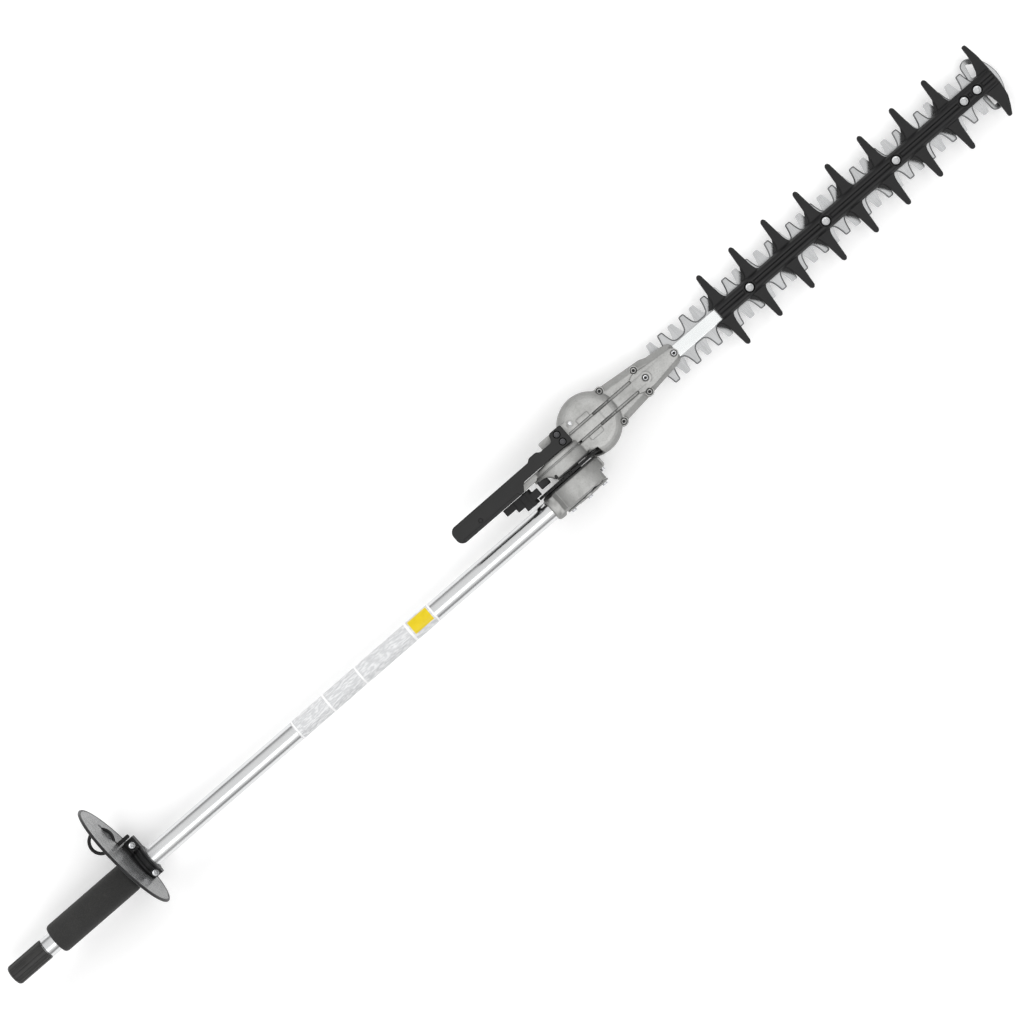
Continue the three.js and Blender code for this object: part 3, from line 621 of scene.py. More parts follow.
def wrap(start, end, angles, inner, outer, steps=48):
    """A thin curved patch round the pole, between two angles in degrees from +Y towards +Z."""
    ring = arc(0, 0, outer, *angles, steps) + arc(0, 0, inner, *angles[::-1], steps)
    return slab(ring, start, end, plane="yz")


def pole_label():
    """A pale printed band with white dividers and a plain yellow field."""
    def layer(name, start, end, angles, lift, material):
        part = wrap(start, end, angles, TUBE_R + lift[0], TUBE_R + lift[1])
        piece(name, part, material, "pole", "tube", weighted=False)

    band, printed = (0.02, 0.14), (0.15, 0.19)
    layer("label_band", *LABEL["band"], (8, 172), band, PAPER)
    for i, (start, end) in enumerate(LABEL["dividers"]):
        layer(f"label_divider_{i + 1}", start, end, (9, 171), printed, WHITE_INK)
    layer("label_yellow_field", *LABEL["yellow"], (30, 117), printed, YELLOW_INK)


def grip_sleeve():
    low, high = corners("grip_sleeve")
    radius = (high.y - low.y) / 2
    bore = TUBE_R + 0.3
    profile = [(bore, low.x), (radius - 3.6, low.x), (radius - 1.6, low.x + 0.6),
               (radius - 0.4, low.x + 2.2), (radius, low.x + 4.5), (radius, high.x - 4.5),
               (radius - 0.4, high.x - 2.2), (radius - 1.6, high.x - 0.6), (radius - 3.6, high.x),
               (bore, high.x)]
    piece("grip_foam", spin(profile, segments=120), FOAM, "pole", "foam", ["grip_sleeve"], crease=50)


# ---- pole: guard disc, ring, clamp -------------------------------------------------
# The disc stands this far before the clamp's flanges, in a collar of the clamp; the ring follows it.
DISC_GAP = 3.2
RING_SHIFT = 2.8
COLLAR = 6.2
DISC_THICK = 2.6
DISC_LEAN = math.radians(4)
DISC_Y = 22


def guard_disc():
    low, high = corners("guard_disc")
    radius = (high.z - low.z) / 2
    foot = corners("clamp_upper")[0].x - DISC_GAP
    place = (Matrix.Translation((foot, 0, 0)) @ Matrix.Rotation(DISC_LEAN, 4, "Z")
             @ Matrix.Translation((0, DISC_Y, low.z + radius)))
    disc = raw_object("guard_disc_smoked", rod(radius - 1.5, -DISC_THICK / 2, DISC_THICK / 2, place, 160))
    slot = rounded(rectangle((32.6, 69), (6.4, 13.6)), 3)
    cut(disc, rod(TUBE_R + 1.6, 170, 215, segments=64), slab(slot, 170, 205, plane="yz"))
    dress(disc, SMOKE, "pole", "smoke", ["guard_disc"], crease=30)
    bead = [(radius - 1.9 + 1.9 * math.cos(t), 1.7 * math.sin(t))
            for t in (TURN * k / 14 for k in range(14))]
    bead = [(r, d) for r, d in bead if r > radius - 3.5]
    piece("guard_disc_bead", spin(bead, place, 160), RIM, "pole", "smoke", crease=60)


def hanging_ring():
    wire, radius = 2.1, 14
    low, high = corners("hanging_ring")
    centre = Vector((low.x + radius + wire + RING_SHIFT, high.y - radius - wire, (low.z + high.z) / 2))
    loop = [(radius + wire * math.cos(TURN * k / 20), wire * math.sin(TURN * k / 20)) for k in range(20)]
    ring = raw_object("hanging_ring_moulded", spin(loop, along_z(*centre), 72))
    stem = slab(rounded([(184, 33.6), (high.x, 33.6), (high.x, 38.4), (181, 38.4)], 2.2),
                low.z + 0.1, high.z - 0.1, 1.2, 3)
    add(ring, stem)
    moulded(ring, 0.35, 3, NYLON, "pole", "plastic", ["hanging_ring"])


def clamp():
    low, high = corners("clamp_upper")
    centre_x = (low.x + high.x) / 2
    screws = [middle(f"clamp_screw_{i}") for i in (1, 2)]
    flange = rounded(rectangle((low.y, high.y), (-8, 8)), 3.5)
    collar = rounded(rectangle((low.y + 1, high.y - 1), (-7, 7)), 3.5)
    sides = (low.x - 9, high.x + 3), (low.y - 3, high.y + 3)
    for name, away in (("clamp_upper", (-40, 0.15)), ("clamp_lower", (-0.15, 40))):
        half = raw_object(f"{name}_moulded", rod(19, low.x, high.x, segments=96, edge=1.4))
        add(half, slab(flange, low.x + 0.4, high.x - 0.4, plane="yz"))
        cut(half, *(tube(22, 18.1, centre_x + groove - 0.9, centre_x + groove + 0.9)
                    for groove in (-3.2, 3.2)))
        add(half, slab(collar, low.x - COLLAR, low.x + 1, plane="yz"),
            rod(17.6, low.x - COLLAR, low.x + 1, segments=96, edge=1.2))
        cut(half, rod(TUBE_R + 0.3, low.x - 9, high.x + 2, segments=96))
        for spot in screws:
            hole = along_z(spot.x, spot.y)
            cut(half, rod(2.4, -30, 30, hole, 32), rod(4.5, 8, 30, hole, 48))
        cut(half, cuboid(*sides, away))
        moulded(half, 0.4, 3, NYLON, "pole", "plastic", [name])
    for i, spot in enumerate(screws):
        upright_screw(f"clamp_screw_{i + 1}", spot, 8.3, (4, 3), 2, "pole", "bright")


# ---- pole-side gear case and index plate -------------------------------------------
def cover_screws():
    """Places of the cover's screws, in X and Z, from the nodes."""
    return [middle(f"cover_screw_{i}") for i in (1, 2, 3)]


def pole_gear_case():
    low, high = corners("pole_gear_case")
    tube_end = corners("pole_tube")[1].x
    plan = [(818, -12.5), (826, -13.3), (871, -13.3), (876, -11.5), (880, -13.3), (888, -13.3), (890.5, -5),
            (893.5, -1), (902.5, -1), (902.5, 15), (818, 15)]
    case = raw_object("pole_gear_case_cast", rod(36, -13.3, 15, along_y(PIVOT.x), 96, 2.5))
    carve(case, "INTERSECT", slab(rounded(plan, [2, 3, 3, 3, 3, 4, 4, 3, 2, 2, 2]), -50, 50))
    neck = spin([(0, low.x), (13.4, low.x), (15.4, low.x + 1.6), (16.2, low.x + 5), (16.2, low.x + 16),
                 (17.5, low.x + 38), (0, low.x + 38)], segments=96)
    ribs = [slab(rounded(rectangle((838, 886), (-12, 14)), 2), z - 1.6, z + 1.6) for z in (-22, 22)]
    lug = slab(rounded(rectangle((888, high.x), (-1, 12)), [0, 3, 3, 0]), -9, 9, 0.8, 3)
    seats = [rod(6.2, -14.6, 8, along_y(p.x, 0, p.z), 48, 0.8) for p in cover_screws()]
    bosses = [rod(4.6, -12, 12, along_y(831, 0, z), 40, 0.6) for z in (-11, 11)]
    add(case, neck, rod(15, 14, high.y, along_y(PIVOT.x), 96, 0.6), lug, *ribs, *bosses, *seats)
    hollows = [rod(33.3, -20, -13.3, along_y(PIVOT.x), 96),
               rod(TUBE_R + 0.3, low.x - 2, tube_end + 0.3), rod(11.3, 837, 848.2), rod(8, 848, 856),
               rod(16, -14, 12.4, along_y(PIVOT.x)), rod(6.5, 12, 15, along_y(PIVOT.x)),
               rod(11.3, 14, 34, along_y(PIVOT.x))]
    hollows += [rod(2.3, -20, -3, along_y(p.x, 0, p.z), 24) for p in cover_screws()]
    cut(case, *hollows)
    moulded(case, 0.6, 3, CAST, "pole", "casting", ["pole_gear_case"], crease=70)
    piece("lug_screw", cap_screw(along_y(898.2, -1.3, 0) @ Matrix.Rotation(math.pi, 4, "Z"),
                                 2.9, 3.6, 1.2, 0.2, 0.5), ZINC, "pole", "bright")


def gear_cover():
    axis = along_y(PIVOT.x)
    places = [along_y(p.x, 0, p.z) for p in cover_screws()]
    cover = raw_object("gear_cover_cast", rod(25, -16.2, -13.6, axis, 96, 0.6))
    add(cover, *(rod(6.6, -16.2, -13.6, place, 48, 0.6) for place in places))
    add(cover, rod(15.6, -13.8, -10.5, axis, 72), tube(14, 11.5, -16.9, -15.8, axis, 72, 0.3))
    cut(cover, rod(12, -13, -8, axis, 72), *(rod(2.3, -20, -3, place, 24) for place in places))
    moulded(cover, 0.45, 2, CAST, "pole", "casting", ["gear_cover"], crease=70)
    for i, place in enumerate(cover_screws()):
        spot = along_y(place.x, -16.5, place.z) @ Matrix.Rotation(math.pi, 4, "Z")
        screw_piece(f"cover_screw_{i + 1}", spot, (3.6, 2.6), (2, 10), "pole", "bright")


def index_plate():
    low, high = corners("index_plate")
    radius = high.x - PIVOT.x
    outline = []
    for step in range(72):
        angle = 5 * step
        notched = 90 <= angle <= 225 and angle % 15 == 0
        for offset, depth in ((-2.6, 0), (-2.0, 2.3), (2.0, 2.3), (2.6, 0)) if notched else ((0, 0),):
            turn = math.radians(angle + offset)
            outline.append((PIVOT.x + (radius - depth) * math.cos(turn), (radius - depth) * math.sin(turn)))
    plate = raw_object("index_plate_stamped", slab(outline, low.y, high.y, 0.35, 2, "xz"))
    cut(plate, rod(15.4, low.y - 2, high.y + 2, along_y(PIVOT.x), 96))
    for angle in (30, 150, 270):
        spot = (PIVOT.x + 30 * math.cos(math.radians(angle)), 30 * math.sin(math.radians(angle)))
        cut(plate, rod(3.2, low.y - 2, high.y + 2, along_y(spot[0], 0, spot[1]), 32))
    moulded(plate, 0.45, 1, NYLON, "pole", "plastic", ["index_plate"])


# ---- head case ---------------------------------------------------------------------
NOSE_END = 1052.7
NOSE_TOP = -6
FLANK_STEPS = 12
SLOPE = math.radians(9.1)
SPLIT_UPPER, SPLIT_LOWER = corners("head_case_upper")[0].z, corners("head_case_lower")[1].z
DOME_Y = 45.8
CASE_SCREWS = [middle(f"case_screw_{i}") for i in (1, 2, 3, 4)]
NOSE_SCREWS = [middle(f"nose_screw_{i}") for i in (1, 2)]
SIDE_BOSS = (903, 61)
HANDLE_MARK = (752.8, 44)
HANDLE_SCREWS = [middle(f"handle_screw_{i}") for i in (1, 2)]


def case_top(x):
    """Height of the nose's sloping top."""
    return NOSE_TOP + (NOSE_END - x) * math.tan(SLOPE)


def half_space(rise, side):
    """Everything over (1) or under (-1) the nose's slope raised by rise, as a block to cut away."""
    place = Matrix.Translation((NOSE_END, DOME_Y, NOSE_TOP + rise)) @ Matrix.Rotation(SLOPE, 4, "Y")
    points, faces = cuboid((-190, 120), (-70, 70), (0, 90) if side > 0 else (-90, 0))
    return [place @ Vector(p) for p in points], faces


def nose_outline(inset):
    """The nose seen from above, drawn in evenly from its edge."""
    points = [(925, 10), (932, 11), (943.7, 16.8), (953, 20.3), (996, 24.9), (1048, 31.9), (1052.7, 36),
              (1052.7, 54), (1050, 57.6), (1042.3, 59.7), (1019, 62.1), (1013, 65), (996, 66.7),
              (956.4, 70.8), (950, 72), (938, 78), (925, 80)]
    radii = [0, 4, 6, 6, 3, 3, 4, 4, 3, 5, 6, 4, 2, 2, 6, 6, 0]
    mid = 44.8
    return [(min(x, NOSE_END - inset), mid + math.copysign(max(abs(y - mid) - inset, 0.5), y - mid))
            for x, y in rounded(points, radii)]


def nose_step(inset, rise):
    return cut_part(slab(nose_outline(inset), -33, 22), half_space(rise, 1))


def head_rib():
    """The rib that crosses the dome and runs down the nose."""
    side = [(889, 8), (889, 22.4), (891, 23.4), (936, 23.4), (958, case_top(958) + 4.2),
            (985, case_top(985) + 3.2), (1049, case_top(1049) + 2.6), (1049, -16), (930, -16), (930, 8)]
    return slab(side, 38.4, 50.6, 1.0, 3, "xz")


def nose_plateau():
    outline = [(982, 38.4), (990, 33.5), (998, 31.5), (1008, 31.3), (1050.5, 37.5), (1050.5, 51.3),
               (1008, 55.3), (997, 57.4), (990, 55), (982, 50.6)]
    return cut_part(slab(rounded(outline, 3), -16, 22), half_space(2.2, 1))


def arm_drum():
    """The round arm beside the pole's gear case, cut to its outline seen from above."""
    plan = [(826, 33.4), (839, 33.4), (846, 30), (851, 20.9), (906, 20.9), (906, 46), (826, 46)]
    drum = raw_object("arm", rod(38, 20.9, 44.4, along_y(PIVOT.x), 96, 2.2))
    carve(drum, "INTERSECT", slab(rounded(plan, [0, 6, 8, 5, 0, 0, 0]), -60, 60))
    part = part_of(drum)
    bpy.data.objects.remove(drum)
    return part


def head_shell():
    dome_profile = [(0, -46), (35, -46), (36.8, -45.4), (38, -43.8), (38, 9), (37.4, 13), (35.6, 16.6),
                    (33, 19.2), (29.6, 21.2), (26, 22), (0, 22)]
    shell = raw_object("shell", spin(dome_profile, along_z(CRANK.x, DOME_Y), 128))
    for k in range(FLANK_STEPS + 1):
        add(shell, nose_step(7.6 * k / FLANK_STEPS, -8.2 + 7.8 * k / FLANK_STEPS))
    blocks = [slab(rounded(rectangle((x0, x1), (y0, y1)), 1.4), z0, z1, 0.8, 3)
              for x0, x1, y0, y1, z0, z1 in (
                  (910, 927, 53.4, 59.6, 15, 23.2), (910, 928, 29.8, 36, 15, 23.2),
                  (866, 900, 24, 66.7, -20, 22), (848, 900, 24, 44, -20, 21),
                  (804, 846, 36.5, 44.4, 6, 22), (860, 878, 57, 67.3, -10, 22))]
    bosses = [rod(5.7, -20, case_top(p.x) - 0.9, along_z(p.x, p.y), 48, 0.8) for p in CASE_SCREWS]
    bosses += [rod(r, -16, case_top(p.x) + 3.0, along_z(p.x, p.y), 64, 0.6)
               for p, r in zip(NOSE_SCREWS, (7.2, 5.4))]
    bosses.append(rod(4.2, 0, 22.8, along_z(*SIDE_BOSS), 48, 0.6))
    add(shell, head_rib(), nose_plateau(), arm_drum(), rod(20, 44, 58, along_y(PIVOT.x), 72, 2), *blocks,
        *bosses)
    return shell


def head_hollows():
    pivot = along_y(PIVOT.x)
    crank = along_z(CRANK.x, CRANK.y)
    dome = along_z(CRANK.x, DOME_Y)
    parts = [rod(48.5, -30, 20.6, pivot, 96), rod(15.4, 20, 33, pivot), rod(16.8, 32.2, 55.5, pivot),
             rod(11.3, 877, 890, along_x(0, CRANK.y)), rod(8.6, 888, 899, along_x(0, CRANK.y)),
             rod(27, -17.5, 10, dome), rod(35, -34.8, -16.2, dome), rod(11.3, 9, 18.6, crank),
             rod(11.3, -42.8, -34, crank), tube(34, 15, -43, -34, crank, edge=0),
             cuboid((945, 992), (30, 59), (-32.2, -16.6)),
             cuboid((985, 1100), (0, 100), (-27.3, SPLIT_UPPER)),
             rod(2.3, 36, 46, along_y(812, 0, 16), 32), rod(1.4, 16, 30, along_z(*SIDE_BOSS), 32),
             tube(40, 36.6, 36.2, 38.4, pivot, 96, 0)]
    parts += [rod(2.3, 12, 30, along_z(p.x, p.y), 32) for p in HANDLE_SCREWS]
    for p, hole, sink in [(p, 2.4, -5) for p in CASE_SCREWS] + [(p, 2.6, 0.5) for p in NOSE_SCREWS]:
        parts.append(rod(hole, -60, 40, along_z(p.x, p.y), 32))
        parts.append(rod(4.2, case_top(p.x) + sink, 60, along_z(p.x, p.y), 40))
    for y in (36.9, 52.1):
        run = slab(rounded(rectangle((930, 988), (y - 1.8, y + 1.8)), 1.4), -16, 40)
        parts.append(cut_part(run, half_space(-2.0, -1), cuboid((920, 952), (y - 5, y + 5), (-20, 15))))
        parts.append(slab(rounded(rectangle((894, 950), (y - 1.5, y + 1.5)), 1.2), 20.4, 40))
    return parts


def head_cases():
    shell = head_shell()
    cut(shell, *head_hollows())
    whole = part_of(shell)
    room = (700, 1200), (-100, 200)
    for name, away in (("head_case_upper", cuboid(*room, (-80, SPLIT_UPPER))),
                       ("head_case_lower", cuboid(*room, (SPLIT_LOWER, 60)))):
        case = raw_object(f"{name}_cast", whole)
        cut(case, away)
        moulded(case, 0.7, 3, CAST, "head", "casting", [name], crease=70)
    bpy.data.objects.remove(shell)
    for kind, spots, seat, height, shank, head in (("case", CASE_SCREWS, -4.7, 2.2, 2.1, CAST),
                                                   ("nose", NOSE_SCREWS, 0.8, 1.4, 2.2, ZINC)):
        for i, p in enumerate(spots):
            # The sockets take black NYLON: painted shade in the recesses.
            upright_screw(f"{kind}_screw_{i + 1}", p, case_top(p.x) + seat, (3.2, height), shank,
                          "head", "steel", head, NYLON)
    piece("side_screw", cap_screw(along_z(*SIDE_BOSS, 23), 2.6, 1.6, 1.2, 6), ZINC, "head", "steel")


# ---- handle bar and lock lever -----------------------------------------------------
def handle_bar():
    low, high = corners("handle_bar")
    edge = 44.9
    outline = [(low.x + 5, low.y), (812, low.y), (818, edge), (893, edge), (893, 67.9), (876, 67.9),
               (873, 58.8), (855, 58.8), (851.5, 62), (840.5, 62), (837, 58.8), (low.x + 5, 58.6),
               (low.x, 53.6), (low.x, low.y + 5)]
    radii = [4, 3, 3, 2, 3, 3, 3, 2, 3, 3, 2, 4, 4, 4]
    bar = raw_object("handle_bar_coated", slab(rounded(outline, radii), low.z, high.z, 1.1, 4))
    step = rounded(rectangle((low.x + 6, 806), (30, 40.2)), [0, 0, 2, 2])
    cut(bar, slab(step, high.z - 1.1, high.z + 5))
    for p in HANDLE_SCREWS:
        cut(bar, rod(2.4, 0, 60, along_z(p.x, p.y), 32), rod(4.4, high.z - 5, 60, along_z(p.x, p.y), 48))
    cut(bar, rod(2.6, high.z - 1.2, 60, along_z(*HANDLE_MARK), 48))
    moulded(bar, 0.45, 2, POWDER, "head", "charcoal", ["handle_bar"])
    piece("handle_plug", rod(2.3, high.z - 1.1, high.z - 0.3, along_z(*HANDLE_MARK), 48, 0.25), NYLON,
          "head", "charcoal")
    for i, p in enumerate(HANDLE_SCREWS):
        upright_screw(f"handle_screw_{i + 1}", p, high.z - 4.7, (3.8, 3), 2, "head", "steel", BLACKED)


def lock_lever():
    pin = joint_place("lever_squeeze")
    x, z = pin.x, pin.z
    axis = along_y(x, 0, z)
    lever = raw_object("lock_lever_moulded", rod(6.5, 16, 35.6, axis, 64, 0.6))

    def limb(outline, near, far, bevel=0.8, steps=3):
        add(lever, slab(outline, near, far, bevel, steps, "xz"))

    limb(rounded(rectangle((x - 11, x), (z - 5, z + 6)), 1), 16, 35.6)
    limb(rounded([(792, z), (803, z - 4), (803, z + 6.4), (792, z + 9)], 1), 22, 35.6)
    limb(rounded([(779, z + 5), (794, z), (794, z + 9), (779, z + 13)], [2, 1, 1, 2]), 27, 35.6, 1.2)
    limb([(x - 5, z - 2), (x - 1, z - 17), (x + 7.2, z - 17.5), (x + 7.2, z - 14.5), (x + 3, z - 12),
          (x + 3, z - 2)], 16, 20.2, 0.3, 2)
    limb(rounded([(814, 11), (826, 13), (826, 21.5), (814, 22)], 1.5), 20.8, 30.5)
    cut(lever, *(rod(0.55, 28, 35, along_y(781.5 + 3 * k, 0, z + 13.1 - 0.8 * k), 24) for k in range(4)),
        rod(2.3, 10, 40, axis, 48))
    moulded(lever, 0.32, 2, NYLON, "lever", "plastic", ["lock_lever"])
    low, high = corners("lever_pin")
    piece("lever_pin_turned", rod(2, low.y, high.y, axis, 48, 0.5), ZINC, "head", "steel", ["lever_pin"])


def lever_stop():
    """A rubber buffer on the arm, which the lever comes to rest against."""
    block = rounded(rectangle((829.5, 843), (24.5, 34.5)), 1.5)
    piece("lever_stop", slab(block, 8, 16.5, 1.2, 3), NYLON, "head", "plastic")
    piece("arm_plug", rod(2.4, 14, 35.6, along_z(851.5, 25.4), 48, 0.5), NYLON, "head", "plastic")


def lever_spring():
    low, high = corners("lever_spring")
    pin = joint_place("lever_squeeze")
    wire, coil, turns, steps, sides = 0.6, 3.9, 2.6, 120, 12
    start, rise = low.y + wire, high.y - low.y - 2 * wire
    points, faces = [], []
    for k in range(steps + 1):
        angle = TURN * turns * k / steps
        out = Vector((math.cos(angle), 0, math.sin(angle)))
        centre = Vector((pin.x, start + rise * k / steps, pin.z)) + coil * out
        for side in range(sides):
            turn = TURN * side / sides
            points.append(centre + wire * (math.cos(turn) * out + math.sin(turn) * Vector((0, 1, 0))))
    for k in range(steps):
        for side in range(sides):
            a, b = k * sides + side, k * sides + (side + 1) % sides
            faces.append((a, b, b + sides, a + sides))
    faces.append(tuple(range(sides)))
    faces.append(tuple(range(steps * sides, (steps + 1) * sides)))
    piece("lever_spring_coil", (points, faces), STEEL, "head", "steel", ["lever_spring"], crease=50,
          weighted=False)


# ---- cutter ------------------------------------------------------------------------
PITCH = 32.8
TEETH = 15
# Each blade and its body, with the X of its first tooth on the +Y edge and on the -Y edge.
BLADES = (("upper_blade", "upper_cutter", 1051, 1032.4), ("lower_blade", "lower_cutter", 1034.1, 1048.4))
CROSS_PIN_X = 976
HOLE_R = 2.6
SLOT_R = 2.9
SLOT_TRAVEL = 8
# The X of the first spike on each side, +Y and -Y, and how far a spike reaches from the middle.
SPIKE_STARTS = ((1128, 1), (1123, -1))
SPIKES = 8
SPIKE_PITCH = 49.3
SPIKE_REACH = 46.9
SPIKE_TOP = -12.5
SPIKE_BASE = corners("spiked_guard")[0].z
BAR_SCREWS = [middle(f"bar_screw_{i}") for i in (1, 2, 3, 4, 5)]


def tooth(x, root, tip, side):
    """One blade tooth with round-bottomed gullets either side, from its left to its right."""
    reach = abs(tip - root)
    half = [(PITCH / 2, 0.0), (12.2, 0.05), (10.4, 0.5), (8.8, 1.5), (7.5, 3.0), (6.6, 4.9), (5.9, 7.2),
            (5.2, 9.8), (4.6, 12.4), (4.1, reach - 2.6), (3.9, reach - 1.5), (3.4, reach - 0.6),
            (2.6, reach - 0.1), (1.6, reach)]
    left = [(x - across, root + side * height) for across, height in half]
    right = [(x + across, root + side * height) for across, height in half]
    return left + right[::-1]


def blade_outline(upper_first, lower_first, low, high):
    """The blade's edge, anticlockwise from its tail."""
    tail, end = low.x, high.x
    root_low, root_high = 34.8, 54.3
    lower, upper = [], []
    for i in range(TEETH):
        lower += tooth(lower_first + i * PITCH, root_low, low.y, -1)
        upper += tooth(upper_first + i * PITCH, root_high, high.y, 1)
    lower = spaced(p for p in lower if tail + 3 < p[0] < end - 1)
    upper = spaced(p for p in upper if tail + 3 < p[0] < end - 1)
    return ([(tail, root_low + 2), (tail + 2, root_low)] + lower + [(end, root_low + 4), (end, root_high - 4)]
            + upper[::-1] + [(tail + 2, root_high), (tail, root_high - 2)])


def long_hole(x, travel, low, high):
    """The slot that a screw needs in a blade which moves by travel either way."""
    outline = arc(x + travel, CRANK.y, SLOT_R, -90, 90, 16) + arc(x - travel, CRANK.y, SLOT_R, 90, 270, 16)
    return slab(outline, low, high)


def blades():
    spots = [p.x for p in NOSE_SCREWS + BAR_SCREWS[:3]]
    first, last = BAR_SCREWS[3].x, BAR_SCREWS[4].x
    for name, body, upper_first, lower_first in BLADES:
        low, high = corners(name)
        flat, edge = (low.z, high.z) if name == "upper_blade" else (high.z, low.z)
        outline = blade_outline(upper_first, lower_first, low, high)
        blade = ground_plate(f"{name}_ground", outline, flat, edge, 1.5, 1.0)
        span = low.z - 2, high.z + 2
        cut(blade, *(long_hole(x, SLOT_TRAVEL, *span) for x in spots),
            long_hole((first + last) / 2, SLOT_TRAVEL + (last - first) / 2, *span),
            rod(3.3, *span, along_z(CROSS_PIN_X, CRANK.y), 32))
        dress(blade, None, body, "steel", [name], crease=20)


def spaced(points, least=0.05):
    """The points without those that repeat the one before."""
    kept = []
    for point in points:
        if not kept or math.dist(point, kept[-1]) > least:
            kept.append(point)
    return kept


def drawn_in(outline, distance):
    """A closed anticlockwise outline moved inwards by an even distance."""
    moved = []
    for i, (x, y) in enumerate(outline):
        (ax, ay), (bx, by) = outline[i - 1], outline[(i + 1) % len(outline)]
        before = Vector((x - ax, y - ay)).normalized()
        after = Vector((bx - x, by - y)).normalized()
        along = (before + after).normalized()
        stretch = min(1 / max(along.dot(after), 0.5), 1.6)
        moved.append((x - along.y * distance * stretch, y + along.x * distance * stretch))
    return moved


def ground_plate(name, outline, flat, edge, width, depth):
    """A plate whose face at height edge is bevelled all round; the bevel has the ground finish."""
    toward = 1 if edge > flat else -1
    rings = [(outline, flat), (outline, edge - toward * depth), (drawn_in(outline, width), edge)]
    count = len(outline)
    points = [(x, y, z) for ring, z in rings for x, y in ring]
    faces = [tuple(range(count)), tuple(2 * count + i for i in range(count))]
    for level in (0, 1):
        for i in range(count):
            a, b = level * count + i, level * count + (i + 1) % count
            faces.append((a, b, b + count, a + count))
    made = raw_object(name, (points, faces))
    made.data.materials.append(STEEL)
    made.data.materials.append(GRIND)
    for face in made.data.polygons:
        face.material_index = 1 if 0.2 < abs(face.normal.z) < 0.97 else 0
    return made


def guide_bar():
    low, high = corners("guide_bar")
    outline = [(low.x, low.y), (high.x - 4, low.y), (high.x, low.y + 4), (high.x, high.y - 4),
               (high.x - 4, high.y), (low.x, high.y)]
    bar = raw_object("guide_bar_plated", slab(rounded(outline, [1, 3, 3, 3, 3, 1]), low.z, high.z, 0.5, 3))
    cut(bar, *(rod(HOLE_R, low.z - 2, high.z + 2, along_z(p.x, p.y), 32) for p in NOSE_SCREWS + BAR_SCREWS))
    dress(bar, BRIGHT, "head", "bright", ["guide_bar"], weighted=True)


def spike(x, side, centre):
    """A tapered spike on one side of the guard, its foot filleted into the spine."""
    half = [(13.5, 8), (10.2, 9.6), (8.2, 12), (6.9, 15.5), (6.0, 20), (5.2, 28), (3.3, SPIKE_REACH)]
    left = [(x - across, centre + side * out) for across, out in half]
    right = [(x + across, centre + side * out) for across, out in reversed(half)]
    tip = [(x - 2.8 * math.cos(t), centre + side * (SPIKE_REACH + 2.8 * math.sin(t)))
           for t in (math.pi * k / 8 for k in range(1, 8))]
    return left + tip + right


def end_anvil(centre):
    """The guard's end, with its two blunt arms; its points are taken from the guard's middle line."""
    right = [(1541.4, -8), (1541.2, 8), (1540.5, 30), (1538.6, 43), (1537.6, 49)]
    left = [(1532.6, 49), (1532.2, 38), (1530.8, 28), (1527, 15), (1522, 9.5), (1486, 9.5), (1486, -9.5),
            (1517, -9.5), (1521.5, -15), (1524, -28), (1522.8, -46), (1523.4, -48.4), (1527, -49),
            (1533, -39), (1538.4, -28)]
    return rounded([(x, centre + y) for x, y in right + left], 2.5, 4)


def spike_shadow_web(x, side, centre):
    """A thin dark web beside a spike's foot, laid where the spike's shadow falls on the teeth: a painted
    shadow.
    """
    outline = [(x - back, centre + side * out) for back, out in
               ((3, 9), (3, 25), (5.4, 25), (9.2, 18), (13.4, 13), (17, 9))]
    return slab(rounded(outline, 1.2), SPIKE_BASE + 0.02, SPIKE_BASE + 2.0, 0.3, 2)


def spiked_guard():
    low, high = corners("spiked_guard")
    centre = (low.y + high.y) / 2
    ridge = [(10, low.z), (10, SPIKE_TOP - 0.6), (8.2, -10.2), (7.2, -9.0), (6.0, -8.4), (4.4, high.z),
             (2.9, -8.5), (1.6, -10.4)]
    section = ridge + [(-y, z) for y, z in reversed(ridge)]
    spine = slab([(centre + y, z) for y, z in section], 1118, high.x - 2, 0.5, 2, "yz")
    guard = raw_object("spiked_guard_moulded", spine)
    for i in range(SPIKES):
        for start, side in SPIKE_STARTS:
            x = start + SPIKE_PITCH * i
            # each spike brings a dark web on its -X side: a painted shadow of the spike
            add(guard, slab(spike(x, side, centre), low.z + 0.02, SPIKE_TOP, 1.5, 4),
                spike_shadow_web(x, side, centre))
    end = rounded(rectangle((1456, 1541), (centre - 11, centre + 11)), 5)
    add(guard, slab(end_anvil(centre), low.z + 0.01, SPIKE_TOP, 1.3, 4),
        slab(end, low.z + 0.03, -10.6, 1.2, 3))
    holes = [along_z(p.x, p.y) for p in BAR_SCREWS]
    add(guard, *(rod(8.4, low.z + 0.04, -9.0, hole, 64, 0.8) for hole in holes))
    for hole in holes:
        cut(guard, rod(HOLE_R, low.z - 2, 0, hole, 32), rod(6.4, SPIKE_TOP, 0, hole, 48))
    moulded(guard, 0.5, 2, NYLON, "head", "plastic", ["spiked_guard"])
    for i, p in enumerate(BAR_SCREWS):
        bar_screw(i, p, SPIKE_TOP + 0.3)


def bar_screw(i, p, seat):
    """A pan-headed screw through guard, bar and blades, with its locknut."""
    name = f"bar_screw_{i + 1}"
    low = corners(name)[0]
    nut_top = -31.8 if i == 4 else -27.2
    place = along_z(p.x, p.y, seat)
    shank = cap_screw(place, 5.5, 2.8, 2.3, seat - low.z, 0.9)
    nut = slab([(p.x + 5 * math.cos(TURN * k / 6), p.y + 5 * math.sin(TURN * k / 6)) for k in range(6)],
               nut_top - 3.6, nut_top, 0.4, 2)
    screw = raw_object(f"{name}_turned", shank)
    add(screw, nut)
    dress(screw, STEEL, "head", "bright", [name], weighted=True)


